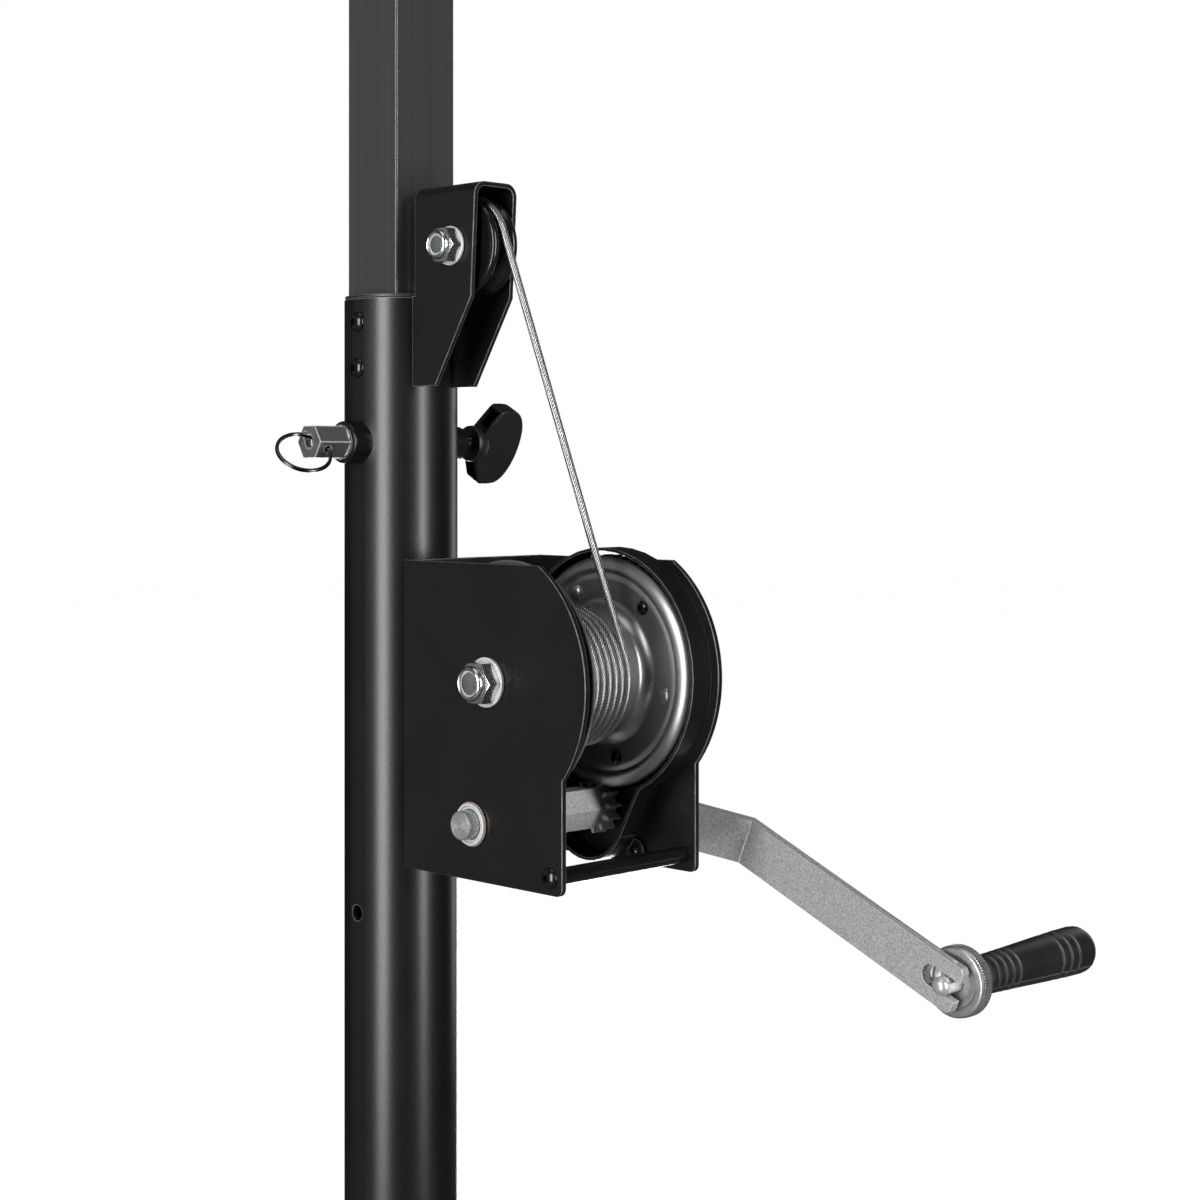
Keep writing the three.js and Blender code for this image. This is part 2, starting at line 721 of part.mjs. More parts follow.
const ROPE_COIL = DRUM_CORE + GAP + ROPE_RADIUS; // radius of a rope turn's centre line
const COIL_START = -30.6;
const COIL_END = 7; // the last turn before the rope rises is part of the run
add(
  "rope_winding",
  ringX(DRUM_CORE + GAP, ROPE_COIL + ROPE_RADIUS, COIL_START, COIL_END, DRUM_FRONT, DRUM_Z, 28),
  ropeSteel,
);

// Drive shaft with its brake: sleeve, friction disc and ratchet wheel between the side plates.

add(
  "drive_shaft",
  join(
    turnedX([[0, -55], [6, -55], [SHAFT_RADIUS, -54], [SHAFT_RADIUS, 59], [5.5, 59], [5.5, 76],
      [0, 76]], SHAFT_FRONT, SHAFT_Z),
    rodX(11, PLATE_OUT + GAP, ARM_HUB_X - ARM_THICK / 2 - GAP, SHAFT_FRONT, SHAFT_Z),
  ),
  zinc,
);
add(
  "shaft_circlip",
  ringX(SHAFT_RADIUS + GAP, 10.8, -PLATE_OUT - 2.2, -PLATE_OUT - GAP, SHAFT_FRONT, SHAFT_Z),
  brightSteel,
);
add(
  "hex_sleeve",
  cut(
    plateX(hexagon(20, SHAFT_FRONT, SHAFT_Z), -33.4, 33.1),
    rodX(SHAFT_RADIUS + GAP, -40, 40, SHAFT_FRONT, SHAFT_Z),
  ),
  zinc,
);
add(
  "pinion",
  cut(
    plateX(
      gearShape(PINION_TEETH, SHAFT_FRONT, SHAFT_Z, PINION_PHASE, PINION_TOOTH),
      33.4,
      42.5,
    ),
    rodX(SHAFT_RADIUS + GAP, 30, 45, SHAFT_FRONT, SHAFT_Z),
  ),
  zinc,
);
add(
  "friction_disc",
  ringX(SHAFT_RADIUS + GAP, 14.5, -37.1, -33.7, SHAFT_FRONT, SHAFT_Z),
  dullZinc,
);

const RATCHET_LEFT = -43;
const RATCHET_RIGHT = -37.4;
function ratchetShape() {
  const shape = new THREE.Shape();
  const teeth = 12;
  for (let k = 0; k < teeth; k += 1) {
    const start = (k * 2 * Math.PI) / teeth;
    const tip = start + (2 * Math.PI) / teeth - 0.05;
    const place = (radius, angle) => [
      SHAFT_FRONT + radius * Math.cos(angle),
      SHAFT_Z + radius * Math.sin(angle),
    ];
    if (k === 0) shape.moveTo(...place(19, start));
    else shape.lineTo(...place(19, start));
    shape.lineTo(...place(23, tip));
  }
  shape.closePath();
  return shape;
}
add(
  "ratchet_wheel",
  cut(
    plateX(ratchetShape(), RATCHET_LEFT, RATCHET_RIGHT),
    rodX(SHAFT_RADIUS + 0.5, -50, -30, SHAFT_FRONT, SHAFT_Z),
  ),
  dullZinc,
);
add(
  "pawl",
  cut(
    join(
      plateX(link(PAWL_FRONT, PAWL_Z, PAWL_FRONT - 5, PAWL_Z - 12, 5), RATCHET_LEFT, RATCHET_RIGHT),
      plateX(
        polygon([
          [PAWL_FRONT - 9, PAWL_Z - 9],
          [PAWL_FRONT - 2, PAWL_Z - 16],
          [PAWL_FRONT - 9, PAWL_Z - 17],
        ]),
        RATCHET_LEFT,
        RATCHET_RIGHT,
      ),
    ),
    rodX(3 + GAP, -50, -30, PAWL_FRONT, PAWL_Z, 16),
  ),
  dullZinc,
);

// Crank arm: a flat bar bent outwards, with an open slot at its end for the folding handle.

const crank = new THREE.Group();
crank.position.set(0, -SHAFT_FRONT, SHAFT_Z);
crank.rotation.x = ARM_LEAN;
group.add(crank);

function bentBar() {
  const half = ARM_THICK / 2;
  const slope = Math.atan2(ARM_PLANE_X - ARM_HUB_X, 28);
  const mitre = half * Math.tan(slope / 2);
  const side = polygon([
    [-15, ARM_HUB_X - half],
    [14.4 + mitre, ARM_HUB_X - half],
    [50.4 + mitre, ARM_PLANE_X - half],
    [ARM_END, ARM_PLANE_X - half],
    [ARM_END, ARM_PLANE_X + half],
    [50.4 - mitre, ARM_PLANE_X + half],
    [14.4 - mitre, ARM_HUB_X + half],
    [-15, ARM_HUB_X + half],
  ]);
  const options = { depth: ARM_WIDTH, bevelEnabled: false };
  const geometry = new THREE.ExtrudeGeometry(side, options);
  geometry.translate(0, 0, -ARM_WIDTH / 2);
  // Drawn as (along, x): along becomes the front, and the width becomes Z.
  geometry.applyMatrix4(
    new THREE.Matrix4().makeBasis(
      new THREE.Vector3(0, -1, 0),
      new THREE.Vector3(1, 0, 0),
      new THREE.Vector3(0, 0, 1),
    ),
  );
  const plan = new THREE.Shape();
  const halfWidth = ARM_WIDTH / 2;
  plan.absarc(0, 0, halfWidth + 0.01, Math.PI / 2, Math.PI * 1.5);
  plan.lineTo(ARM_END - 2, -halfWidth - 0.01);
  plan.lineTo(ARM_END, 2 - halfWidth);
  plan.lineTo(ARM_END, halfWidth - 2);
  plan.lineTo(ARM_END - 2, halfWidth + 0.01);
  plan.closePath();
  return cut(
    solid(geometry).intersect(plateX(plan, ARM_HUB_X - 10, ARM_PLANE_X + 10, 12)),
    rodX(5.5 + GAP, 40, 80, 0, 0),
    plateX(link(ARM_REACH - 9, 0, ARM_END + 10, 0, 5), 80, 120),
    rodZ(1.8, -30, 30, 12).translate([ARM_PLANE_X, -ARM_REACH, 0]),
  );
}
add("crank_arm", bentBar(), dullZinc, crank);
add(
  "crank_nut",
  lockNut(19, 8.5, 11.5, 5.5, ARM_HUB_X + ARM_THICK / 2, 1, 0, 0),
  zinc,
  crank,
);

const GRIP_START = 114.5;
const GRIP_END = 212;
add(
  "handle_spindle",
  join(
    turnedX([[0, 91.5], [2.6, 91.9], [4.2, 93.6], [4.5, 95.5], [4.5, 190], [0, 190]], ARM_REACH, 0, 20),
    rodZ(1.5, -11.8, 11.8, 12).translate([ARM_PLANE_X, -ARM_REACH, 0]),
  ),
  brightSteel,
  crank,
);
add(
  "knurled_disc",
  ringX(4.8, 17.2, 104.3, 112.5, ARM_REACH, 0, 28).subtract(
    turnedX([[0, 100], [15, 100], [13.5, 105.4], [0, 105.4]], ARM_REACH, 0, 28),
  ),
  dullZinc,
  crank,
);
add(
  "grip",
  turnedX([[4.8, GRIP_START], [9, GRIP_START], [9.2, 150], [11.4, 180], [12, 206],
    [10.5, 211], [6, GRIP_END], [0, GRIP_END], [0, 204], [4.8, 204]], ARM_REACH, 0, 24),
  blackPlastic,
  crank,
);

// Wire rope: the last turn on the drum, up and over the pulley and down inside the tube, then on to
// the anchor.

function ropeRoute() {
  const firstX = COIL_END + ROPE_RADIUS + 0.4;
  const coilX = firstX + 4.6;
  const pulleyRope = PULLEY_GROOVE + ROPE_RADIUS + GAP;
  // Line that touches the front of the coil and the front of the pulley.
  const rise = PULLEY_Z - DRUM_Z;
  const back = DRUM_FRONT - PULLEY_FRONT;
  const span = Math.hypot(rise, back);
  const lean = Math.atan2(back, rise) + Math.asin((ROPE_COIL - pulleyRope) / span);
  const points = [];
  const onCoil = (angle, x) =>
    new THREE.Vector3(
      x,
      -(DRUM_FRONT + (ROPE_COIL + 0.3) * Math.cos(angle)),
      DRUM_Z + (ROPE_COIL + 0.3) * Math.sin(angle),
    );
  const onPulley = (angle) =>
    new THREE.Vector3(
      0,
      -(PULLEY_FRONT + pulleyRope * Math.cos(angle)),
      PULLEY_Z + pulleyRope * Math.sin(angle),
    );
  const turnSteps = 24;
  for (let k = 0; k < turnSteps; k += 1) {
    const share = k / turnSteps;
    points.push(onCoil(lean - 2 * Math.PI * (1 - share), firstX + (coilX - firstX) * share));
  }
  const start = onCoil(lean, coilX);
  const end = onPulley(lean);
  for (let k = 0; k <= 8; k += 1) points.push(start.clone().lerp(end, k / 8));
  const leave = Math.PI - THREE.MathUtils.degToRad(18.6);
  for (let k = 1; k <= 10; k += 1) points.push(onPulley(lean + ((leave - lean) * k) / 10));
  points.push(new THREE.Vector3(0, -28.6, TUBE_TOP + 13));
  points.push(new THREE.Vector3(0, -25.2, TUBE_TOP + 3));
  points.push(new THREE.Vector3(0, -ROPE_FRONT - 0.3, TUBE_TOP - 5));
  points.push(new THREE.Vector3(0, -ROPE_FRONT, TUBE_TOP - 15));
  points.push(new THREE.Vector3(0, -ROPE_FRONT, TUBE_TOP - 60));
  return points;
}
function ropeSolid(points, steps) {
  const section = new THREE.Shape();
  section.absarc(0, 0, ROPE_RADIUS, 0, Math.PI * 2);
  const path = new THREE.CatmullRomCurve3(points, false, "centripetal");
  const options = { steps, extrudePath: path, bevelEnabled: false, curveSegments: 4 };
  return solid(new THREE.ExtrudeGeometry(section, options));
}
add("cable_run", ropeSolid(ropeRoute(), 78), ropeSteel);
add(
  "cable_inner",
  rodZ(ROPE_RADIUS, 74 + GAP, TUBE_TOP - 60 - GAP, 8).translate([0, -ROPE_FRONT, 0]),
  ropeSteel,
);

// Tripod. Each leg is made in its own radial frame, where the radius is along +X, and opened there.

// Turns a piece of a leg from its folded place, along -Z below the pivot, to its open place.
function opened(manifold, angle, x, z) {
  const degrees = THREE.MathUtils.radToDeg(angle);
  return manifold.rotate([0, -degrees, 0]).translate([x, 0, z]);
}

// A flat outline drawn in (x, z), as a plate from y0 to y1.
function plateY(shape, y0, y1) {
  const options = { depth: y1 - y0, bevelEnabled: false, curveSegments: 4 };
  const geometry = new THREE.ExtrudeGeometry(shape, options);
  geometry.rotateX(Math.PI / 2);
  geometry.translate(0, y1, 0);
  return solid(geometry);
}

function rodY(radius, y0, y1, x, z, segments = 12) {
  return rodZ(radius, y0, y1, segments).rotate([-90, 0, 0]).translate([x, 0, z]);
}

// A collar on the tube with a pair of ears for each leg.
function earedCollar(bore, z, height, earIn, earOut, pin) {
  const ear = (side) => {
    const y = side > 0 ? earIn : -earOut;
    return plateY(link(33, z, PIVOT_RADIUS, z, 9.5), y, y + earOut - earIn);
  };
  let collar = rodZ(36, z - height / 2, z + height / 2, 28);
  LEG_AZIMUTHS.forEach((azimuth) => {
    const ears = join(ear(1), ear(-1));
    const lug = pin ? ears.add(rodY(pin, -earOut - 2, earOut + 2, PIVOT_RADIUS, z)) : ears;
    collar = collar.add(lug.rotate([0, 0, azimuth]));
  });
  return cut(collar, rodZ(bore, z - height, z + height, 32));
}
add("leg_hub", earedCollar(TUBE_RADIUS + GAP, HUB_Z, 44, 6.4, 10.4, 4.5), blackCoat);

const KNOB_AZIMUTH = 30;
add(
  "brace_collar",
  cut(
    join(
      earedCollar(TUBE_RADIUS + 0.6, COLLAR_Z, 40, 7.5, 11, 0),
      rodX(8, 33, 44, 0, COLLAR_Z, 16).rotate([0, 0, KNOB_AZIMUTH]),
    ),
    rodZ(TUBE_RADIUS + 0.6, COLLAR_Z - 30, COLLAR_Z + 30, 24),
    rodX(4.4, 20, 50, 0, COLLAR_Z, 16).rotate([0, 0, KNOB_AZIMUTH]),
  ),
  blackCoat,
);
add(
  "collar_knob",
  join(
    rodX(4, TUBE_RADIUS + 0.4, 60, 0, COLLAR_Z, 16),
    turnedX([[0, 48], [8, 48], [10, 56], [19, 59], [20, 62], [20, 71], [17, 74], [0, 74]],
      0, COLLAR_Z, 10),
  ).rotate([0, 0, KNOB_AZIMUTH]),
  blackPlastic,
);

function legSolid() {
  const tube = ringZ(LEG_RADIUS - 1.6, LEG_RADIUS, -LEG_LENGTH + 26, 12).translate([LEG_OFFSET, 0, 0]);
  const tongue = plateY(
    polygon([[0, 8.5], [20, 11], [20, -34], [8, -20], [0, -8.5]]),
    -6,
    6,
  ).add(rodY(8.5, -6, 6, 0, 0));
  const ear = (y) => plateY(link(0, -BRACE_SPAN, LEG_OFFSET - 8, -BRACE_SPAN, 8), y, y + 3.5);
  const pivots = join(ear(7.5), ear(-11), rodY(3.5, -12.5, 12.5, 0, -BRACE_SPAN));
  return cut(
    join(tube, tongue, pivots),
    rodY(4.5 + GAP, -20, 20, 0, 0),
    rodZ(LEG_RADIUS - 1.6, -LEG_LENGTH, -LEG_LENGTH + 100).translate([LEG_OFFSET, 0, 0]),
  );
}

function footSolid() {
  const end = -LEG_LENGTH;
  const folded = turnedZ([[0, end - 30], [19, end - 30], [19, end + 20], [16.5, end + 26 - GAP],
    [12, end + 26 - GAP], [12, end + 60], [0, end + 60]]).translate([LEG_OFFSET, 0, 0]);
  const floorCut = box(-2000, 2000, -200, 200, FLOOR_Z - 200, FLOOR_Z);
  return opened(folded, LEG_OPEN, PIVOT_RADIUS, HUB_Z).subtract(floorCut);
}

function braceSolid() {
  const bar = plateY(link(0, 0, 0, -BRACE_SPAN, 8), -7, 7);
  return cut(bar, rodY(3.5 + GAP, -20, 20, 0, 0));
}

LEG_AZIMUTHS.forEach((azimuth, i) => {
  const radial = new THREE.Group();
  radial.rotation.z = THREE.MathUtils.degToRad(azimuth);
  group.add(radial);
  const kneeX = PIVOT_RADIUS + BRACE_SPAN * Math.sin(LEG_OPEN);
  const kneeZ = HUB_Z - BRACE_SPAN * Math.cos(LEG_OPEN);
  add(`leg_${i + 1}`, opened(legSolid(), LEG_OPEN, PIVOT_RADIUS, HUB_Z), blackCoat, radial);
  add(`foot_${i + 1}`, footSolid(), blackRubber, radial);
  add(`brace_${i + 1}`, opened(braceSolid(), -LEG_OPEN, kneeX, kneeZ), blackCoat, radial);
});

export default group;
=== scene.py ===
"""Looks for the crank lighting stand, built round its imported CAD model.

Lengths are metres in the row frame: +Z is up, the winch faces -Y and its crank is on the +X side.
Many places are given as a distance to the front, so front d is y = -d.
"""

import json
import math

import bmesh
import bpy
from mathutils import Matrix, Vector


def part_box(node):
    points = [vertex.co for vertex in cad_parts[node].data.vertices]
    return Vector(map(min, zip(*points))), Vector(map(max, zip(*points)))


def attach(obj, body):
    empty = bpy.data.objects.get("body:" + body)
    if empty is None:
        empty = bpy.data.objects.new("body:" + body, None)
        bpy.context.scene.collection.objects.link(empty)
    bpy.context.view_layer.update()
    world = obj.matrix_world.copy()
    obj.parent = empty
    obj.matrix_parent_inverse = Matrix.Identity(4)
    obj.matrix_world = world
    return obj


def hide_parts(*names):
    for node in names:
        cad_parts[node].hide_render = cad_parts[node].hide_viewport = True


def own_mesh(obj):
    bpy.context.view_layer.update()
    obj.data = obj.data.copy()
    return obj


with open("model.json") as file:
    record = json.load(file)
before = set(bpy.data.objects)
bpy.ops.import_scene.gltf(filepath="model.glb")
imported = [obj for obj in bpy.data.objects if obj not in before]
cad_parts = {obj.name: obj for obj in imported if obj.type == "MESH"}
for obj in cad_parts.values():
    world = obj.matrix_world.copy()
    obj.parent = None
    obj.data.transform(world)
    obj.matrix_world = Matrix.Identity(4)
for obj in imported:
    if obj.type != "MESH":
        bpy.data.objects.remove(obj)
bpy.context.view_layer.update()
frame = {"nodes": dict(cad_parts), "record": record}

MM = 0.001
TUBE_TOP = 1.480
LOCK_Z = TUBE_TOP - 0.0753
PULLEY_FRONT = 0.0576
PULLEY_Z = TUBE_TOP + 0.0243
BRACKET_FACE = 0.0145
PLATE_FACE = 0.0468
DRUM_FRONT = 0.121
DRUM_Z = TUBE_TOP - 0.191
SHAFT_LEAN = math.radians(9.3)
SHAFT_FRONT = DRUM_FRONT - 0.070 * math.sin(SHAFT_LEAN)
SHAFT_Z = DRUM_Z - 0.070 * math.cos(SHAFT_LEAN)
ARM_LEAN = math.radians(22.8)
ARM_REACH = 0.1875
HANDLE_FRONT = SHAFT_FRONT + ARM_REACH * math.cos(ARM_LEAN)
HANDLE_Z = SHAFT_Z - ARM_REACH * math.sin(ARM_LEAN)
ROD_FRONT = 0.1638
ROD_Z = TUBE_TOP - 0.2791
ROPE_RADIUS = 0.002
ROPE_LAY = 0.014
ROPE_STRANDS = 8
COIL_RADIUS = 0.0333
RUN_RADIUS = COIL_RADIUS + 0.0003
FLOOR_Z = -0.060
SCREW_ABOVE_RECESS = 3.3 * MM
GUARD_SCREW_FRONT = SHAFT_FRONT + 0.023
GUARD_SCREW_Z = SHAFT_Z - 0.0206
GUARD_SCREW_X = 0.0418
CRANK_NUT_X = 0.0648
CRANK_END_X = 0.076
TUBE_CLEARANCE = 0.0303
SMOOTH_ANGLE = math.radians(38)


# ---------------------------------------------------------------- camera, light and floor

def add_camera():
    data = bpy.data.cameras.new("camera")
    data.sensor_width = 36.0
    data.lens = 66.83
    data.shift_y = -0.11025
    data.clip_start = 0.01
    camera = bpy.data.objects.new("camera", data)
    camera.location = (-0.7589, -0.9142, 1.3915)
    camera.rotation_euler = (math.pi / 2, 0.0, -math.radians(44.8))
    bpy.context.scene.collection.objects.link(camera)
    bpy.context.scene.camera = camera


def add_light(name, place, target, size, power):
    data = bpy.data.lights.new(name, "AREA")
    data.shape = "RECTANGLE"
    data.size, data.size_y = size
    data.energy = power
    lamp = bpy.data.objects.new(name, data)
    lamp.location = place
    lamp.visible_camera = False
    lamp.rotation_euler = (Vector(target) - Vector(place)).to_track_quat("-Z", "Y").to_euler()
    bpy.context.scene.collection.objects.link(lamp)


def add_world():
    """A white room for the eye, that lights the object softly."""
    world = bpy.data.worlds.new("studio")
    bpy.context.scene.world = world
    world.use_nodes = True
    nodes = world.node_tree.nodes
    links = world.node_tree.links
    background = nodes["Background"]
    background.inputs["Color"].default_value = (1.0, 1.0, 1.0, 1.0)
    path = nodes.new("ShaderNodeLightPath")
    strength = nodes.new("ShaderNodeMix")
    strength.inputs["A"].default_value = 0.03
    strength.inputs["B"].default_value = 1.0
    links.new(path.outputs["Is Camera Ray"], strength.inputs["Factor"])
    links.new(strength.outputs["Result"], background.inputs["Strength"])


def floor_paint():
    """Pale paint that glows a little to the eye, so that it blends with the room and still takes shadows."""
    paint = bpy.data.materials.new("floor_paint")
    paint.use_nodes = True
    nodes = paint.node_tree.nodes
    links = paint.node_tree.links
    shader = nodes["Principled BSDF"]
    shader.inputs["Roughness"].default_value = 0.9
    shader.inputs["Specular IOR Level"].default_value = 0.1
    shader.inputs["Emission Color"].default_value = (1.0, 1.0, 1.0, 1.0)
    path = nodes.new("ShaderNodeLightPath")
    glow = nodes.new("ShaderNodeMath")
    glow.operation = "MULTIPLY"
    glow.inputs[1].default_value = 0.97
    links.new(path.outputs["Is Camera Ray"], glow.inputs[0])
    links.new(glow.outputs["Value"], shader.inputs["Emission Strength"])
    colour = nodes.new("ShaderNodeMix")
    colour.data_type = "RGBA"
    colour.inputs["A"].default_value = (0.15, 0.15, 0.15, 1.0)
    colour.inputs["B"].default_value = (0.8, 0.8, 0.8, 1.0)
    links.new(path.outputs["Is Camera Ray"], colour.inputs["Factor"])
    links.new(colour.outputs["Result"], shader.inputs["Base Color"])
    return paint


def add_floor():
    bm = bmesh.new()
    bmesh.ops.create_circle(bm, cap_ends=True, radius=30.0, segments=96)
    mesh = bpy.data.meshes.new("floor")
    bm.to_mesh(mesh)
    floor = bpy.data.objects.new("floor", mesh)
    floor.location = (0.0, 0.0, FLOOR_Z)
    bpy.context.scene.collection.objects.link(floor)
    mesh.materials.append(floor_paint())


# ---------------------------------------------------------------- finishes

def finish(name, dark, light, metallic, roughness, spread=0.08, patch=60.0, grain=1500.0, bump=0.15,
           stretch=(1.0, 1.0, 1.0)):
    """A finish whose colour and roughness vary in patches, with a fine grain in relief.

    patch and grain are noise scales per metre, and stretch scales the grain along each axis.
    """
    material = bpy.data.materials.new(name)
    material.use_nodes = True
    nodes = material.node_tree.nodes
    links = material.node_tree.links
    shader = nodes["Principled BSDF"]
    shader.inputs["Metallic"].default_value = metallic
    place = nodes.new("ShaderNodeTexCoord")
    mapping = nodes.new("ShaderNodeMapping")
    mapping.inputs["Scale"].default_value = stretch
    links.new(place.outputs["Object"], mapping.inputs["Vector"])
    patches = nodes.new("ShaderNodeTexNoise")
    patches.inputs["Scale"].default_value = patch
    patches.inputs["Detail"].default_value = 5.0
    links.new(mapping.outputs["Vector"], patches.inputs["Vector"])
    grains = nodes.new("ShaderNodeTexNoise")
    grains.inputs["Scale"].default_value = grain
    grains.inputs["Detail"].default_value = 3.0
    links.new(mapping.outputs["Vector"], grains.inputs["Vector"])
    tint = nodes.new("ShaderNodeMapRange")
    tint.inputs["From Min"].default_value = 0.35
    tint.inputs["From Max"].default_value = 0.65
    links.new(patches.outputs["Fac"], tint.inputs["Value"])
    colour = nodes.new("ShaderNodeMix")
    colour.data_type = "RGBA"
    colour.inputs["A"].default_value = (*dark, 1.0)
    colour.inputs["B"].default_value = (*light, 1.0)
    links.new(tint.outputs["Result"], colour.inputs["Factor"])
    links.new(colour.outputs["Result"], shader.inputs["Base Color"])
    rough = nodes.new("ShaderNodeMapRange")
    rough.inputs["From Min"].default_value = 0.3
    rough.inputs["From Max"].default_value = 0.7
    rough.inputs["To Min"].default_value = roughness - spread
    rough.inputs["To Max"].default_value = roughness + spread
    links.new(grains.outputs["Fac"], rough.inputs["Value"])
    links.new(rough.outputs["Result"], shader.inputs["Roughness"])
    relief = nodes.new("ShaderNodeBump")
    relief.inputs["Strength"].default_value = bump
    relief.inputs["Distance"].default_value = 0.0002
    links.new(grains.outputs["Fac"], relief.inputs["Height"])
    links.new(relief.outputs["Normal"], shader.inputs["Normal"])
    return material


def grey(value):
    """A neutral grey, a shade to the cool side."""
    return (value, value * 1.01, value * 1.01)


BLACK_COAT = finish("black_coat", grey(0.004), grey(0.006), 0.0, 0.31, 0.04, 25.0, 1400.0, 0.08)
# A lighter grey copy of the black coat for bevels and rounded edges: a painted edge highlight.
BLACK_HIGHLIGHT = finish("black_coat_highlight", grey(0.08), grey(0.16), 0.3, 0.36, 0.06, 200.0, 1400.0, 0.08)
BLACK_GLOSS = finish("black_gloss", grey(0.004), grey(0.006), 0.0, 0.20, 0.04, 40.0, 900.0, 0.05)
MAST_GREY = finish("mast_grey", grey(0.056), grey(0.066), 0.35, 0.26, 0.03, 300.0, 1600.0, 0.03,
                   stretch=(1.0, 1.0, 0.01))
MAST_EDGE = finish("mast_edge", grey(0.05), grey(0.07), 0.5, 0.34, 0.04, 300.0, 1600.0, 0.03,
                   stretch=(1.0, 1.0, 0.01))
BLACK_PLASTIC = finish("black_plastic", grey(0.008), grey(0.012), 0.0, 0.42, 0.06, 80.0, 2200.0, 0.25)
# A lighter copy of the black plastic: a painted highlight for bevels, grooves and the grip's mould line.
PLASTIC_HIGHLIGHT = finish("plastic_highlight", grey(0.05), grey(0.09), 0.0, 0.40, 0.06, 300.0, 2200.0, 0.20)
BLACK_RUBBER = finish("black_rubber", grey(0.012), grey(0.02), 0.0, 0.75, 0.08, 60.0, 1800.0, 0.35)
ZINC = finish("zinc", grey(0.62), grey(0.72), 1.0, 0.24, 0.04, 200.0, 1200.0, 0.02)
DRUM_ZINC = finish("drum_zinc", grey(0.36), grey(0.42), 0.92, 0.34, 0.03, 40.0, 900.0, 0.01)
TURNED_ZINC = finish("turned_zinc", grey(0.52), grey(0.62), 0.95, 0.36, 0.04, 500.0, 1500.0, 0.04)
SATIN_ZINC = finish("satin_zinc", grey(0.42), grey(0.78), 0.55, 0.48, 0.08, 1300.0, 1500.0, 0.20)
PINION_ZINC = finish("pinion_zinc", grey(0.70), grey(0.86), 0.30, 0.40, 0.06, 900.0, 1500.0, 0.10)
PLUNGER_ZINC = finish("plunger_zinc", grey(0.34), grey(0.42), 0.95, 0.36, 0.04, 500.0, 1500.0, 0.05)
DARK_GEAR = finish("dark_gear", grey(0.02), grey(0.04), 0.6, 0.38, 0.06, 400.0, 1500.0, 0.10)
DULL_ZINC = finish("dull_zinc", grey(0.27), grey(0.48), 0.30, 0.46, 0.08, 1100.0, 1500.0, 0.16)
# A lighter copy of the dull zinc: a painted highlight for bevels, bends and ends.
DULL_ZINC_HIGHLIGHT = finish("dull_zinc_highlight", grey(0.58), grey(0.70), 0.60, 0.34, 0.06, 900.0, 1500.0, 0.10)
BRIGHT_STEEL = finish("bright_steel", grey(0.55), grey(0.68), 1.0, 0.16, 0.06, 300.0, 2200.0, 0.06)
SPINDLE_STEEL = finish("spindle_steel", grey(0.62), grey(0.74), 0.7, 0.32, 0.04, 300.0, 2200.0, 0.04)
WASHER_ZINC = finish("washer_zinc", grey(0.66), grey(0.78), 0.4, 0.36, 0.05, 500.0, 1800.0, 0.05)
DARK_CHROME = finish("dark_chrome", grey(0.07), grey(0.11), 1.0, 0.20, 0.03, 300.0, 2200.0, 0.05)
TURNED_STEEL = finish("turned_steel", grey(0.36), grey(0.46), 0.6, 0.34, 0.05, 900.0, 2500.0, 0.06)
YELLOW_ZINC = finish("yellow_zinc", (0.46, 0.42, 0.29), (0.58, 0.54, 0.40), 0.6, 0.34, 0.06, 400.0, 1500.0,
                     0.06)


def rope_finish():
    """Galvanised strand: bright crowns, and painted shade in the valleys between the strands, which follow
    the UV map.
    """
    material = finish("rope_steel", grey(0.36), grey(0.52), 1.0, 0.38, 0.05, 1500.0, 3500.0, 0.12)
    nodes = material.node_tree.nodes
    links = material.node_tree.links
    shader = nodes["Principled BSDF"]
    plain = shader.inputs["Base Color"].links[0].from_socket
    along = nodes.new("ShaderNodeUVMap")
    along.uv_map = "along"
    split = nodes.new("ShaderNodeSeparateXYZ")
    links.new(along.outputs["UV"], split.inputs["Vector"])
    count = nodes.new("ShaderNodeMath")
    count.operation = "MULTIPLY"
    count.inputs[1].default_value = ROPE_STRANDS
    links.new(split.outputs["X"], count.inputs[0])
    fold = nodes.new("ShaderNodeMath")
    fold.operation = "PINGPONG"
    fold.inputs[1].default_value = 0.5
    links.new(count.outputs["Value"], fold.inputs[0])
    # Painted shade: the valleys between the strands are darkened towards grey 0.05.
    valley = nodes.new("ShaderNodeMapRange")
    valley.inputs["From Min"].default_value = 0.26
    valley.inputs["From Max"].default_value = 0.48
    valley.inputs["To Min"].default_value = 0.0
    valley.inputs["To Max"].default_value = 0.85
    links.new(fold.outputs["Value"], valley.inputs["Value"])
    shade = nodes.new("ShaderNodeMix")
    shade.data_type = "RGBA"
    shade.inputs["B"].default_value = (*grey(0.05), 1.0)
    links.new(valley.outputs["Result"], shade.inputs["Factor"])
    links.new(plain, shade.inputs["A"])
    links.new(shade.outputs["Result"], shader.inputs["Base Color"])
    return material


ROPE_STEEL = rope_finish()
NYLON = finish("nylon", (0.30, 0.34, 0.36), (0.42, 0.46, 0.48), 0.0, 0.4, 0.05, 200.0, 1500.0, 0.1)

# Each finish's lighter copy for its bevelled edges: a painted edge highlight.
EDGE_HIGHLIGHT_OF = {
    BLACK_COAT.name: BLACK_HIGHLIGHT,
    BLACK_PLASTIC.name: PLASTIC_HIGHLIGHT,
    DULL_ZINC.name: DULL_ZINC_HIGHLIGHT,
    PLUNGER_ZINC.name: DULL_ZINC_HIGHLIGHT,
}


# ---------------------------------------------------------------- mesh helpers

def about_x(front, z, x=0.0, side=1):
    """Turns a shape made round +Z at the origin to stand round +X (or -X) at a place on the object."""
    turn = Matrix.Rotation(side * math.pi / 2, 4, "Y")
    return Matrix.Translation((x, -front, z)) @ turn


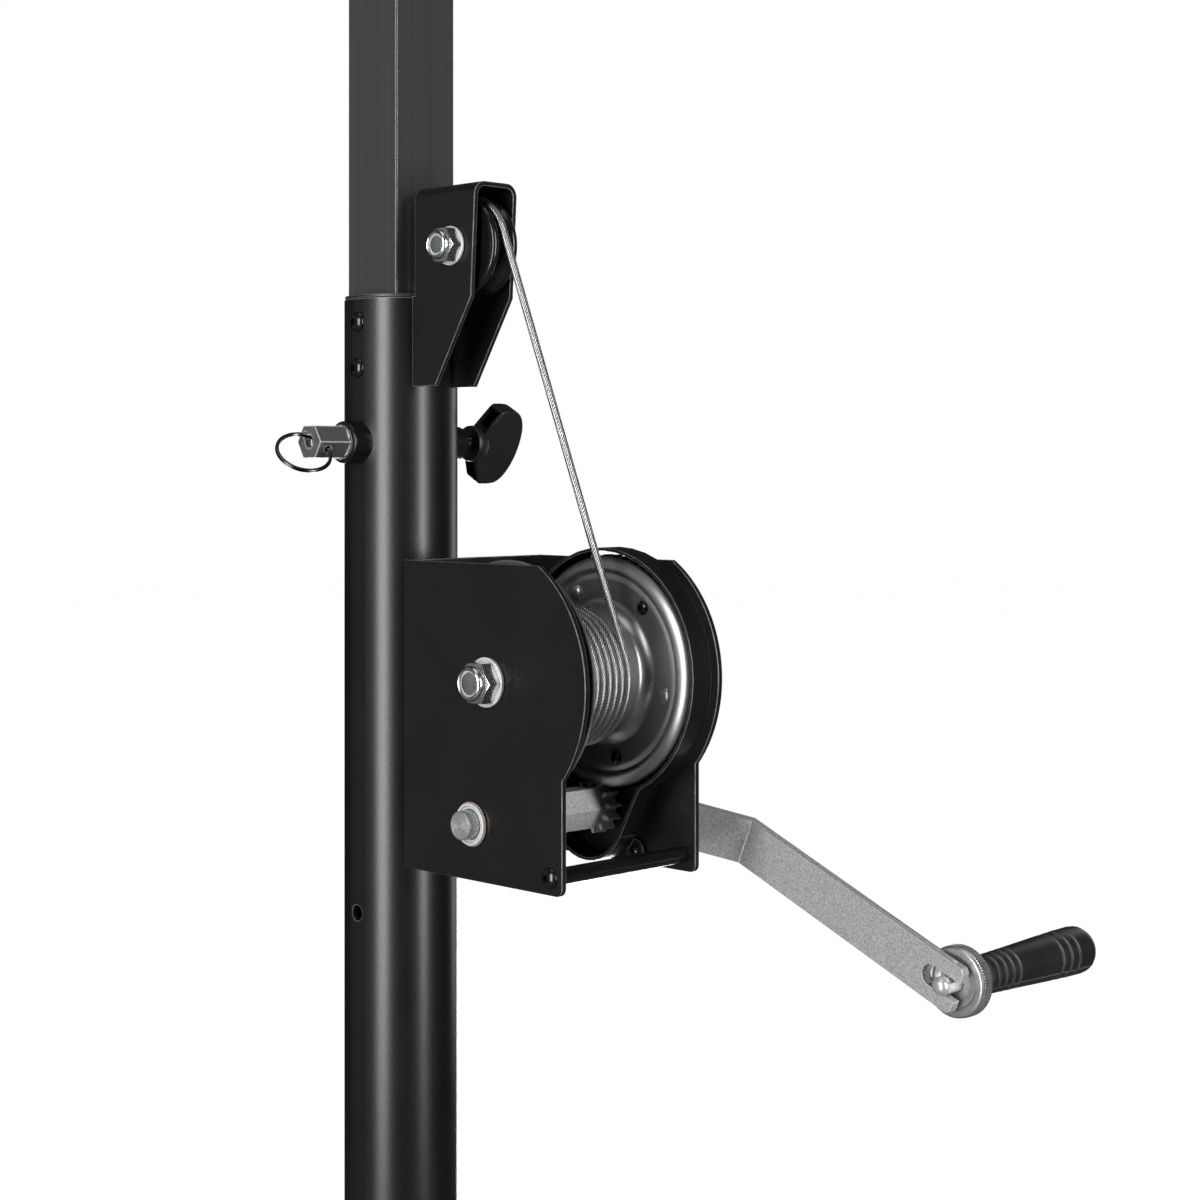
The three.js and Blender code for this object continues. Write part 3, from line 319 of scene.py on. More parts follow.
def lathe(profile, segments=64, closed=False):
    """A turned shape round Z. The profile is a list of (radius, height)."""
    bm = bmesh.new()
    rings = []
    for radius, height in profile:
        count = segments if radius > 1e-7 else 1
        ring = []
        for k in range(count):
            angle = 2 * math.pi * k / segments
            ring.append(bm.verts.new((radius * math.cos(angle), radius * math.sin(angle), height)))
        rings.append(ring)
    pairs = list(zip(rings, rings[1:]))
    if closed:
        pairs.append((rings[-1], rings[0]))
    for low, high in pairs:
        for k in range(segments):
            corners = [low[k % len(low)], low[(k + 1) % len(low)],
                       high[(k + 1) % len(high)], high[k % len(high)]]
            corners = list(dict.fromkeys(corners))
            if len(corners) > 2:
                bm.faces.new(corners)
    bmesh.ops.recalc_face_normals(bm, faces=bm.faces)
    return bm


def hexagon(across, low, high, hole):
    """A hexagonal nut or bar along Z with turned chamfers at both ends, and a round hole."""
    steps = 72
    face = across / 2 * 0.97
    bm = bmesh.new()
    rings = [[] for _ in range(6)]
    for k in range(steps):
        angle = 2 * math.pi * k / steps
        corner = across / 2 / math.cos((angle + math.pi / 6) % (math.pi / 3) - math.pi / 6)
        drop = (corner - face) * 0.5
        ring_points = [(hole, low), (face, low), (corner, low + drop),
                       (corner, high - drop), (face, high), (hole, high)]
        for ring, (radius, height) in zip(rings, ring_points):
            ring.append(bm.verts.new((radius * math.cos(angle), radius * math.sin(angle), height)))
    for low_ring, high_ring in zip(rings, rings[1:] + rings[:1]):
        for k in range(steps):
            after = (k + 1) % steps
            bm.faces.new((low_ring[k], low_ring[after], high_ring[after], high_ring[k]))
    bmesh.ops.recalc_face_normals(bm, faces=bm.faces)
    return bm


def mm(points):
    """Pairs given in millimetres, in metres."""
    return [(first * MM, second * MM) for first, second in points]


def one_slot(bm):
    """The same shape with its first material everywhere."""
    for face in bm.faces:
        face.material_index = 0
    return bm


def moved(bm, matrix):
    bmesh.ops.transform(bm, matrix=matrix, verts=bm.verts)
    return bm


def united(*parts, slots=None):
    """One bmesh that holds all the given ones, each with its own material slot."""
    whole = bmesh.new()
    for i, part in enumerate(parts):
        slot = slots[i] if slots else 0
        for face in part.faces:
            face.material_index = slot
        mesh = bpy.data.meshes.new("part")
        part.to_mesh(mesh)
        part.free()
        whole.from_mesh(mesh)
        bpy.data.meshes.remove(mesh)
    return whole


def cad_shape(node):
    """The CAD node's shape with its flat faces whole again, ready for bevels."""
    bm = bmesh.new()
    bm.from_mesh(frame["nodes"][node].data)
    one_slot(bm)
    bmesh.ops.remove_doubles(bm, verts=bm.verts, dist=2e-6)
    bmesh.ops.dissolve_limit(bm, angle_limit=math.radians(0.5), verts=bm.verts, edges=bm.edges)
    return bm


def bevel_edges(bm, width, slot=None, angle=35.0, segments=2):
    sharp = [e for e in bm.edges if e.is_manifold and e.calc_face_angle() > math.radians(angle)]
    if not sharp:
        return
    bmesh.ops.bevel(bm, geom=sharp, offset=width, offset_type="OFFSET", segments=segments, profile=0.6,
                    affect="EDGES", clamp_overlap=False, material=-1 if slot is None else slot)


def make_piece(name, bm, body, materials, stands_for=()):
    """Turns a bmesh into a smooth-shaded piece that rides on a body."""
    for edge in bm.edges:
        edge.smooth = not edge.is_manifold or edge.calc_face_angle() < SMOOTH_ANGLE
    for face in bm.faces:
        face.smooth = True
    mesh = bpy.data.meshes.new(name)
    bm.to_mesh(mesh)
    bm.free()
    for material in materials:
        mesh.materials.append(material)
    piece = bpy.data.objects.new(name, mesh)
    bpy.context.scene.collection.objects.link(piece)
    normals = piece.modifiers.new("normals", "WEIGHTED_NORMAL")
    normals.keep_sharp = True
    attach(piece, body)
    if stands_for:
        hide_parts(*stands_for)
    return piece


BODY_OF = {n: body for body, nodes in frame["record"]["behaviour"]["bodies"].items() for n in nodes}


def refine(node, width, material, name=None):
    """A bevelled, smooth copy of a CAD node; where its finish has one, a lighter painted highlight lies on
    its bevelled edges.
    """
    bm = cad_shape(node)
    # The finish's painted edge highlight, if it has one, goes on the bevels.
    edge = EDGE_HIGHLIGHT_OF.get(material.name)
    bevel_edges(bm, width, 1 if edge else None)
    materials = [material, edge] if edge else [material]
    return make_piece(name or node + "_skin", bm, BODY_OF[node], materials, [node])


def plate(outline, holes, low, high, rounding, matrix):
    """A flat sheet with holes and rounded edges. The outlines are closed lists of (u, v)."""
    data = bpy.data.curves.new("plate", "CURVE")
    data.dimensions = "2D"
    data.fill_mode = "BOTH"
    data.bevel_depth = rounding
    data.bevel_resolution = 2
    data.offset = -rounding
    data.extrude = (high - low) / 2 - rounding
    for loop in [outline, *holes]:
        spline = data.splines.new("POLY")
        spline.points.add(len(loop) - 1)
        for point, (u, v) in zip(spline.points, loop):
            point.co = (u, v, 0.0, 1.0)
        spline.use_cyclic_u = True
    curve = bpy.data.objects.new("plate", data)
    bpy.context.scene.collection.objects.link(curve)
    bpy.context.view_layer.update()
    mesh = bpy.data.meshes.new_from_object(curve.evaluated_get(bpy.context.evaluated_depsgraph_get()))
    bpy.data.objects.remove(curve)
    bm = bmesh.new()
    bm.from_mesh(mesh)
    bmesh.ops.remove_doubles(bm, verts=bm.verts, dist=1e-6)
    # The rounded edge faces take slot 1, which the side plates fill with a painted edge highlight.
    for face in bm.faces:
        flat = abs(face.normal.z)
        face.material_index = 1 if 0.05 < flat < 0.95 else 0
    moved(bm, Matrix.Translation((0.0, 0.0, (low + high) / 2)))
    return moved(bm, matrix)


# Turns a shape drawn in (front, z), with its thickness along +Z, to stand across X.
FRONT_VIEW = Matrix(((0, 0, 1, 0), (-1, 0, 0, 0), (0, 1, 0, 0), (0, 0, 0, 1)))


def arc(front, z, radius, start, end, steps):
    """Points on an arc, with its angles in degrees from the front towards the top."""
    points = []
    for k in range(steps + 1):
        angle = math.radians(start + (end - start) * k / steps)
        points.append((front + radius * math.cos(angle), z + radius * math.sin(angle)))
    return points


def add_side_plates():
    low, high = TUBE_TOP - 0.2873, TUBE_TOP - 0.1343
    rear, lip, reach, corner = 0.0583, 0.1721, 0.0665, 0.004
    top_angle = math.degrees(math.asin((high - DRUM_Z) / reach))
    lip_angle = -math.degrees(math.acos((lip - DRUM_FRONT) / reach))
    outline = [(rear, low)]
    outline += arc(lip - corner, low + corner, corner, -90, 0, 8)
    outline += arc(DRUM_FRONT, DRUM_Z, reach, lip_angle, top_angle, 48)
    outline.append((rear, high))
    holes = [arc(DRUM_FRONT, DRUM_Z, 0.0063, 0, 354, 59), arc(SHAFT_FRONT, SHAFT_Z, 0.0075, 0, 354, 59),
             arc(ROD_FRONT, ROD_Z, 0.003, 0, 350, 35)]
    for name, near, far in (("left", -0.0468, -0.0438), ("right", 0.0438, 0.0468)):
        bm = plate(outline, holes, near, far, 0.45 * MM, FRONT_VIEW)
        # The plates' rounded edges carry a painted highlight.
        make_piece(f"plate_{name}", bm, "root", [BLACK_COAT, BLACK_HIGHLIGHT], [f"side_plate_{name}"])


# ---------------------------------------------------------------- fasteners

def threads(radius, pitch, low, high):
    """The profile of a screw thread as rings, from low to high."""
    profile = []
    count = max(1, round((high - low) / pitch))
    for k in range(count):
        start = low + k * pitch
        profile.append((radius, start + 0.25 * pitch))
        profile.append((radius * 0.9, start + 0.75 * pitch))
    return profile


def lock_nut(across, height, washer, bolt, tip):
    """A washer, a nut with its nylon collar, and the rounded end of the bolt, round +Z from 0."""
    ring = lathe([(bolt, 0.3 * MM), (washer, 0.3 * MM), (washer, 1.9 * MM), (bolt, 1.9 * MM)], closed=True)
    bevel_edges(ring, 0.3 * MM)
    body = hexagon(across, 1.9 * MM, 2 * MM + height * 0.68, bolt * 0.98)
    collar = across * 0.45
    top = 2 * MM + height
    low = 2 * MM + height * 0.62
    crown = lathe([(collar * 0.96, low), (collar, top - 1.9 * MM), (collar * 0.97, top - 0.9 * MM),
                   (collar * 0.9, top - 0.25 * MM), (collar * 0.82, top), (collar * 0.74, top - 0.3 * MM),
                   (collar * 0.71, top - 1.4 * MM)])
    nylon = lathe([(collar * 0.73, top - 1.2 * MM), (bolt * 0.9, top - 1.2 * MM)])
    profile = [(bolt, low)] + threads(bolt, 1.25 * MM, low, tip - 0.8 * MM)
    profile += [(bolt * 0.86, tip - 0.5 * MM), (bolt * 0.62, tip - 0.1 * MM), (0.0, tip)]
    end = lathe(profile)
    return united(ring, body, crown, nylon, end, slots=[2, 0, 0, 1, 0])


def button_screw(head, socket):
    """A button head with a hexagonal socket, round +Z from 0."""
    height = head * 0.6
    profile = [(head, 0.2 * MM)]
    steps = 8
    low = math.radians(12)
    for k in range(steps + 1):
        angle = math.radians(12 + 58 * k / steps)
        rise = height * (math.sin(angle) - math.sin(low))
        profile.append((head * math.cos(angle) / math.cos(low), 0.4 * MM + rise))
    dome = lathe(profile, 48)
    rim = profile[-1]
    wall = bmesh.new()
    outer, upper, lower = [], [], []
    for k in range(48):
        angle = 2 * math.pi * k / 48
        reach = socket / 2 / math.cos((angle + math.pi / 6) % (math.pi / 3) - math.pi / 6)
        around = Vector((math.cos(angle), math.sin(angle), 0.0))
        inside = around * min(reach, rim[0] * 0.97)
        outer.append(wall.verts.new(around * rim[0] + Vector((0, 0, rim[1]))))
        upper.append(wall.verts.new(inside + Vector((0, 0, rim[1]))))
        lower.append(wall.verts.new(inside + Vector((0, 0, rim[1] - head * 0.4))))
    for low, high in ((outer, upper), (upper, lower)):
        for k in range(48):
            after = (k + 1) % 48
            wall.faces.new((low[k], low[after], high[after], high[k]))
    wall.faces.new(lower)
    bmesh.ops.recalc_face_normals(wall, faces=wall.faces)
    return united(dome, wall)


# ---------------------------------------------------------------- wire rope

def swept_rope(points, step=0.0011):
    """A rope of twisted strands laid along a path, as a closed bmesh with a UV map along it."""
    lengths = [0.0]
    for a, b in zip(points, points[1:]):
        lengths.append(lengths[-1] + (b - a).length)
    total = lengths[-1]
    count = max(2, round(total / step))
    samples = []
    i = 0
    for k in range(count + 1):
        s = total * k / count
        while i < len(points) - 2 and lengths[i + 1] < s:
            i += 1
        share = (s - lengths[i]) / (lengths[i + 1] - lengths[i])
        samples.append(points[i].lerp(points[i + 1], share))
    around = ROPE_STRANDS * 4
    section = []
    for k in range(around):
        angle = 2 * math.pi * k / around
        crown = abs(math.cos(ROPE_STRANDS * angle / 2))
        section.append((angle, ROPE_RADIUS * (0.89 + 0.11 * crown)))
    bm = bmesh.new()
    layer = bm.loops.layers.uv.new("along")
    side = (samples[1] - samples[0]).orthogonal().normalized()
    rings = []
    for k, place in enumerate(samples):
        ahead = samples[min(k + 1, count)] - samples[max(k - 1, 0)]
        ahead.normalize()
        side = (side - ahead * side.dot(ahead)).normalized()
        up = ahead.cross(side)
        twist = 2 * math.pi * total * k / count / ROPE_LAY
        rings.append([bm.verts.new(place + side * (radius * math.cos(angle + twist))
                                   + up * (radius * math.sin(angle + twist)))
                      for angle, radius in section])
    for k, (low, high) in enumerate(zip(rings, rings[1:])):
        for j in range(around):
            after = (j + 1) % around
            face = bm.faces.new((low[j], low[after], high[after], high[j]))
            spots = ((j, k), (j + 1, k), (j + 1, k + 1), (j, k + 1))
            for loop, (u, v) in zip(face.loops, spots):
                loop[layer].uv = (u / around, v * total / count / ROPE_LAY)
    bm.faces.new(rings[0])
    bm.faces.new(rings[-1])
    bmesh.ops.recalc_face_normals(bm, faces=bm.faces)
    return bm


def smooth_path(points, steps=12):
    """A Catmull-Rom curve through the points."""
    path = []
    for i in range(len(points) - 1):
        before = points[max(i - 1, 0)]
        a, b = points[i], points[i + 1]
        beyond = points[min(i + 2, len(points) - 1)]
        for k in range(steps):
            t = k / steps
            path.append(0.5 * ((2 * a) + (b - before) * t + (2 * before - 5 * a + 4 * b - beyond) * t * t
                               + (3 * a - before - 3 * b + beyond) * t ** 3))
    path.append(points[-1])
    return path


PULLEY_ROPE = 0.0243
TURN_PITCH = 0.0042
LAST_TURN_X = 0.014
ROPE_TOUCH = math.atan2(DRUM_FRONT - PULLEY_FRONT, PULLEY_Z - DRUM_Z) + math.asin(
    (COIL_RADIUS - PULLEY_ROPE) / math.hypot(PULLEY_Z - DRUM_Z, DRUM_FRONT - PULLEY_FRONT))
ROPE_BACK = ROPE_TOUCH - math.radians(200.0)


def coil_point(angle, x, radius=COIL_RADIUS):
    """A point on the drum's winding; the angle counts from the front, towards the top."""
    return Vector((x, -(DRUM_FRONT + radius * math.cos(angle)), DRUM_Z + radius * math.sin(angle)))


def pulley_point(angle):
    """A point on the rope's arc over the pulley, with the same kind of angle."""
    return Vector((0.0, -(PULLEY_FRONT + PULLEY_ROPE * math.cos(angle)),
                   PULLEY_Z + PULLEY_ROPE * math.sin(angle)))


def dip(share):
    """How far a rope's end dips into the drum's core: all the way at 0, and not at all from 1."""
    return 0.006 * max(0.0, 1.0 - share) ** 2


def rope_run():
    """Half a turn under the drum, then up to the pulley, over it and down into the tube."""
    points = []
    for k in range(28):
        share = k / 28
        points.append(coil_point(ROPE_BACK + (ROPE_TOUCH - ROPE_BACK) * share, LAST_TURN_X,
                                 RUN_RADIUS - dip(share * 7)))
    start = coil_point(ROPE_TOUCH, LAST_TURN_X, RUN_RADIUS)
    end = pulley_point(ROPE_TOUCH)
    for k in range(9):
        points.append(start.lerp(end, k / 8))
    leave = math.pi - math.radians(18.6)
    for k in range(1, 11):
        points.append(pulley_point(ROPE_TOUCH + (leave - ROPE_TOUCH) * k / 10))
    for front, rise in ((28.6, 13), (25.2, 3), (24.1, -5), (23.8, -15), (23.8, -60)):
        points.append(Vector((0.0, -front * MM, TUBE_TOP + rise * MM)))
    return smooth_path(points)


def rope_coils():
    """Flat turns side by side on the drum's core, each with a step across to the next at the back."""
    turns = 9.85
    steps = 60
    points = []
    for k in range(round(turns * steps) + 1):
        turn = k / steps
        step = max(0.0, (turn % 1.0 - 0.88) / 0.12)
        across = int(turn) + step * step * (3 - 2 * step)
        sink = dip(turn / 0.08) + dip((turns - turn) / 0.08)
        points.append(coil_point(ROPE_BACK - 2 * math.pi * turn, LAST_TURN_X - TURN_PITCH * (across + 1),
                                 COIL_RADIUS - sink))
    return points


def add_rope():
    """The run and the coil, in place of the plain CAD rope."""
    make_piece("rope_run", swept_rope(rope_run()), BODY_OF["cable_run"], [ROPE_STEEL], ["cable_run"])
    make_piece("rope_coils", swept_rope(rope_coils()), BODY_OF["rope_winding"], [ROPE_STEEL],
               ["rope_winding"])


# ---------------------------------------------------------------- pieces with turned shapes

def add_drum():
    """The drum with its pressed and rolled right flange, and the rivets and screws on it."""
    shell = lathe(mm([(6.5, -42), (9, -42), (9, -33.4), (57.2, -33.4), (58, -32.8), (58, -31.6), (57.2, -31),
                      (31, -31), (31, 24.5), (31.6, 26.4), (33.2, 28.4), (35.4, 30), (37.6, 30.6),
                      (46.6, 30.7), (48.0, 30.9), (49.0, 31.4), (49.8, 31.5), (50.3, 30.6), (51.0, 29.9),
                      (52.2, 29.65), (53.4, 29.9), (54.6, 30.3), (55.8, 30.85), (56.9, 31.55),
                      (57.7, 32.4), (57.9, 32.9), (57.4, 33.1), (50, 33.2), (48, 33.9), (6.5, 33.9)]),
                  160, closed=True)
    parts = [moved(shell, about_x(DRUM_FRONT, DRUM_Z))]
    slots = [0]
    for degrees, kind in ((116, "rivet"), (50, "screw"), (-12, "rivet"), (-77, "screw"), (172, "screw"),
                          (228, "rivet")):
        angle = math.radians(degrees)
        place = (DRUM_FRONT + 0.0435 * math.cos(angle), DRUM_Z + 0.0435 * math.sin(angle), 0.0307)
        if kind == "rivet":
            head = lathe(mm([(4.2, -0.2), (4.2, 0.1), (3.9, 0.8), (3.1, 1.4), (1.8, 1.75), (0, 1.85)]), 40)
        else:
            head = button_screw(3.6 * MM, 2.8 * MM)
        parts.append(moved(head, about_x(*place, side=-1)))
        slots.append(0 if kind == "rivet" else 1)
    make_piece("drum_shell", united(*parts, slots=slots), "drum", [DRUM_ZINC, BLACK_GLOSS], ["drum"])


def add_nuts():
    """The two lock nuts, and the bolts that they close, whose ends stand level with the nuts."""
    for name, node, bolt_node, across, height, washer, bolt, front, z, face in (
            ("pulley_lock_nut", "pulley_nut", "pulley_bolt", 17, 9.4, 10, 5, PULLEY_FRONT, PULLEY_Z,
             BRACKET_FACE),
            ("axle_lock_nut", "drum_axle_nut", "drum_axle", 19, 11, 12, 6, DRUM_FRONT, DRUM_Z, PLATE_FACE),
    ):
        tip = height + 1.7
        nut = lock_nut(across * MM, height * MM, washer * MM, bolt * MM, tip * MM)
        make_piece(name, moved(nut, about_x(front, z, -face, -1)), "root", [ZINC, NYLON, WASHER_ZINC], [node])
        shank = lathe([(0.0, -face - 2 * MM), (bolt * MM, -face - 2 * MM), (bolt * MM, face), (0.0, face)])
        head_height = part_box(bolt_node)[1].x - face
        head = hexagon(across * MM, face + 0.3 * MM, face + head_height, 0.1 * MM)
        bolt_shape = moved(united(shank, head), about_x(front, z))
        make_piece(name.replace("lock_nut", "bolt_skin"), bolt_shape, "root", [ZINC], [bolt_node])


def add_shaft_end():
    """The zinc cup washer on a yellow ring, round the shaft's end."""
    face = -PLATE_FACE / MM
    ring = [(7.4, 0.35), (10.5, 0.35), (10.8, 0.6), (10.7, 1.0), (7.4, 1.0)]
    bowl = [(7.4, 1.05), (10.1, 1.05), (10.3, 1.4), (10.1, 1.95), (9.6, 2.15), (9.0, 2.1), (8.7, 1.8),
            (8.6, 1.3), (7.4, 1.3)]
    yellow = lathe(mm([(r, face - x) for r, x in ring]), 96, closed=True)
    cup = lathe(mm([(r, face - x) for r, x in bowl]), 96, closed=True)
    make_piece("shaft_washers", moved(united(yellow, cup, slots=[1, 0]), about_x(SHAFT_FRONT, SHAFT_Z)),
               BODY_OF["shaft_circlip"], [WASHER_ZINC, YELLOW_ZINC], ["shaft_circlip"])


def add_turned():
    """Round parts with finer rounding than their CAD nodes. The profiles are (radius, x) in millimetres."""
    marks = [(0, -55.0)]
    for k in range(7):
        radius = 0.8 * (k + 1)
        marks += [(radius - 0.25, -55.0), (radius, -55.1), (radius + 0.25, -55.0)]
    shaft = marks + [(6.2, -55), (6.9, -54.4), (7, -54), (7, 47.1), (10.7, 47.1), (11, 47.4), (11, 59.2),
                     (10.7, 59.5), (5.4, 59.5), (5.4, 75.4), (0, 75.4)]
    rod = [(2.7, -43.5), (3.6, -43.5), (4, -43.1), (4, 43.1), (3.6, 43.5), (2.7, 43.5), (2.7, -43.5)]
    spindle = [(0, 91.5), (1.2, 91.55), (2.4, 91.8), (3.3, 92.4), (4, 93.3), (4.4, 94.4), (4.5, 95.5),
               (4.5, 190), (0, 190)]
    pin = lathe(mm([(0, -11.8), (1.5, -11.8), (1.5, 11.8), (0, 11.8)]), 32)
    across = Matrix.Translation((0.1, -HANDLE_FRONT, HANDLE_Z)) @ Matrix.Rotation(ARM_LEAN, 4, "X")
    bore = lathe([(0, -0.02), (TUBE_CLEARANCE, -0.02), (TUBE_CLEARANCE, 0.02), (0, 0.02)], 128)
    moved(bore, Matrix.Translation((0.0, 0.0, LOCK_Z)))
    boss = [(6.3, -26), (11, -26), (11, -38.6), (10.8, -39.1), (10.2, -39.5), (4.4, -39.5), (4.4, -37),
            (6.3, -37), (6.3, -26)]
    clamp = [(4.5, 26), (9, 26), (9, 39.4), (8.5, 40), (4.5, 40), (4.5, 26)]
    for node, front, z, profile, material, extra, cutter in (
            ("drive_shaft", SHAFT_FRONT, SHAFT_Z, shaft, TURNED_STEEL, None, None),
            ("spacer_rod", ROD_FRONT, ROD_Z, rod, BLACK_GLOSS, None, None),
            ("handle_spindle", HANDLE_FRONT, HANDLE_Z, spindle, SPINDLE_STEEL, moved(pin, across), None),
            ("plunger_boss", 0.0, LOCK_Z, boss, BLACK_GLOSS, None, bore),
            ("clamp_boss", 0.0, LOCK_Z, clamp, BLACK_COAT, None, bore),
    ):
        closed = profile[0] == profile[-1]
        if closed:
            profile = profile[:-1]
        bm = moved(lathe(mm(profile), 96, closed), about_x(front, z))
        if extra:
            bm = united(bm, extra)
        if cutter:
            bm = carved(bm, cutter.copy())
        make_piece(f"{node}_skin", bm, BODY_OF[node], [material], [node])
    nut = lock_nut(19 * MM, 8.5 * MM, 11.5 * MM, 5.5 * MM, CRANK_END_X - CRANK_NUT_X)
    make_piece("crank_nut_skin", moved(nut, about_x(SHAFT_FRONT, SHAFT_Z, CRANK_NUT_X)), "crank",
               [ZINC, NYLON, WASHER_ZINC], ["crank_nut"])


def add_screws():
    for name, node, head, matrix in (
            ("guide_screw_head_1", "guide_screw_upper", 4.4, None),
            ("guide_screw_head_2", "guide_screw_lower", 4.4, None),
            ("rod_screw_head_1", "rod_screw_left", 5.0, about_x(ROD_FRONT, ROD_Z, -PLATE_FACE, -1)),
            ("rod_screw_head_2", "rod_screw_right", 5.0, about_x(ROD_FRONT, ROD_Z, PLATE_FACE, 1)),
            ("guard_screw_head", "guard_screw", 3.2,
             about_x(GUARD_SCREW_FRONT, GUARD_SCREW_Z, GUARD_SCREW_X, -1)),
    ):
        if matrix is None:
            low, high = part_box(node)
            matrix = about_x(0.0, (low.z + high.z) / 2, low.x + SCREW_ABOVE_RECESS, -1)
            head = (high.z - low.z) / 2 / MM
        bm = moved(button_screw(head * MM, head * 0.8 * MM), matrix)
        make_piece(name, bm, "root", [BLACK_GLOSS], [node])


MOULD_LINE = 33.0


def add_grip():
    """The handle's plastic grip, with ring grooves near both ends and a mould line, and a painted highlight
    in the grooves, along the mould line and at the centre of its end.
    """
    profile = [(4.8, 114.5), (8.4, 114.5), (9.0, 115.2)]
    grooves = []
    for centre in (124.0, 129.5, 135.0, 140.5, 146.0, 181.0, 187.8, 194.6):
        grooves.append((centre, 9.1 + 2.8 * (centre - 118) / 77))
    for centre, radius in grooves:
        profile += [(radius, centre - 1.6), (radius - 0.1, centre - 1.1), (radius - 0.9, centre - 0.6),
                    (radius - 1.1, centre), (radius - 0.9, centre + 0.6), (radius - 0.1, centre + 1.1),
                    (radius, centre + 1.6)]
    profile += [(12.0, 205.0), (11.7, 208.0), (10.6, 210.4), (8.6, 211.7), (5.5, 212.0), (0.0, 212.0)]
    bm = lathe(mm(profile), 120)
    for vert in bm.verts:
        if vert.co.z > 0.116 and abs(vert.co.x) < 1e-6:
            vert.co.y *= 1.02
    centres = [centre for centre, _ in grooves]
    # The grooves, the mould line and the centre of the end take the painted highlight.
    for face in bm.faces:
        x = face.calc_center_median().z / MM
        if min(abs(x - centre) for centre in centres) < 1.3 or min(v.co.x ** 2 for v in face.verts) < 1e-12:
            face.material_index = 1
    bmesh.ops.rotate(bm, verts=bm.verts, matrix=Matrix.Rotation(math.radians(MOULD_LINE), 3, "Z"))
    make_piece("grip_shell", moved(bm, about_x(HANDLE_FRONT, HANDLE_Z)), "grip",
               [BLACK_PLASTIC, PLASTIC_HIGHLIGHT], ["grip"])


WING_LEAN = 28.0


def carved(bm, *tools):
    """The shape with the tools' shapes cut out of it."""
    holders = []
    for part in (bm, *tools):
        mesh = bpy.data.meshes.new("carving")
        part.to_mesh(mesh)
        part.free()
        holder = bpy.data.objects.new("carving", mesh)
        bpy.context.scene.collection.objects.link(holder)
        holders.append(holder)
    for tool in holders[1:]:
        cutter = holders[0].modifiers.new("cut", "BOOLEAN")
        cutter.operation = "DIFFERENCE"
        cutter.object = tool
    bpy.context.view_layer.update()
    result = bmesh.new()
    result.from_mesh(holders[0].evaluated_get(bpy.context.evaluated_depsgraph_get()).data)
    for holder in holders:
        bpy.data.objects.remove(holder)
    return result


def add_clamp_knob():
    """A T-shaped knob whose wing is hollow on the tube's side, on a threaded stud."""
    outline = [(-9, 52), (-21.2, 59), (-22.4, 60.6), (-22.5, 65)]
    for k in range(21):
        angle = math.radians(180 - 180 * k / 20)
        bulge = math.sin(angle) ** 0.8
        outline.append((22.5 * math.cos(angle), 66.5 + 13.9 * bulge))
    outline += [(22.5, 65), (22.4, 60.6), (21.2, 59), (9, 52)]
    # Drawn as (span, x) with its thickness along Z: the span becomes Z, x stays and the thickness is Y.
    stand = Matrix(((0, 1, 0, 0), (0, 0, 1, 0), (1, 0, 0, 0), (0, 0, 0, 1)))
    wing = one_slot(plate(mm(outline), [], -5.6 * MM, 5.6 * MM, 1.1 * MM, stand))
    corners = ((10.2, 48), (20.6, 48), (20.6, 68.0), (18.8, 71.0), (15.0, 74.0), (10.2, 76.0))
    pockets = []
    for side in (-1, 1):
        pocket = [(side * span, x) for span, x in corners]
        pockets.append(plate(mm(pocket), [], -3.8 * MM, 3.8 * MM, 0.3 * MM, stand))
    wing = carved(wing, *pockets)
    hub = lathe(mm([(4.0, 47.6), (8.4, 47.3), (9.3, 47.6), (9.8, 48.6), (9.9, 50.5), (9.6, 53), (8.4, 55.5),
                    (5.4, 58), (0, 58.5)]), 64)
    thread = threads(4 * MM, 1.25 * MM, 21 * MM, 48.5 * MM)
    stud = lathe(mm([(4, 20.6)]) + thread + mm([(3.6, 49)]), 48)
    tip = lathe(mm([(0, 20.4), (3.4, 20.4), (4, 21)]), 48)
    upright = about_x(0.0, 0.0)
    whole = united(wing, moved(hub, upright), moved(stud, upright), moved(tip, upright), slots=[0, 0, 1, 1])
    lean = Matrix.Translation((0.0, 0.0, LOCK_Z)) @ Matrix.Rotation(math.radians(WING_LEAN), 4, "X")
    make_piece("knob_shell", moved(whole, lean), "clamp_knob", [BLACK_PLASTIC, BLACK_GLOSS],
               ["clamp_knob"])


def add_knurled_disc():
    """The turned cup between the arm and the grip, with a knurled rim."""
    profile = [(4.8, 106.2), (8.6, 106.2), (9.2, 105.7), (11.8, 105.5), (12.4, 104.9), (12.9, 104.4),
               (13.6, 104.3), (15.9, 104.3), (16.5, 104.6), (16.9, 105.2), (16.8, 106.0), (16.5, 106.4),
               (17.2, 106.7), (17.2, 112.0), (16.8, 112.5), (4.8, 112.5)]
    bm = lathe(mm(profile), 240, closed=True)
    for vert in bm.verts:
        radius = math.hypot(vert.co.x, vert.co.y)
        if radius > 0.0171:
            tooth = round(math.atan2(vert.co.y, vert.co.x) / (2 * math.pi) * 240) % 3
            scale = 1.0 if tooth == 0 else 0.975
            vert.co.x *= scale
            vert.co.y *= scale
    make_piece("knurled_cup", moved(bm, about_x(HANDLE_FRONT, HANDLE_Z)), "handle_collar", [TURNED_ZINC],
               ["knurled_disc"])


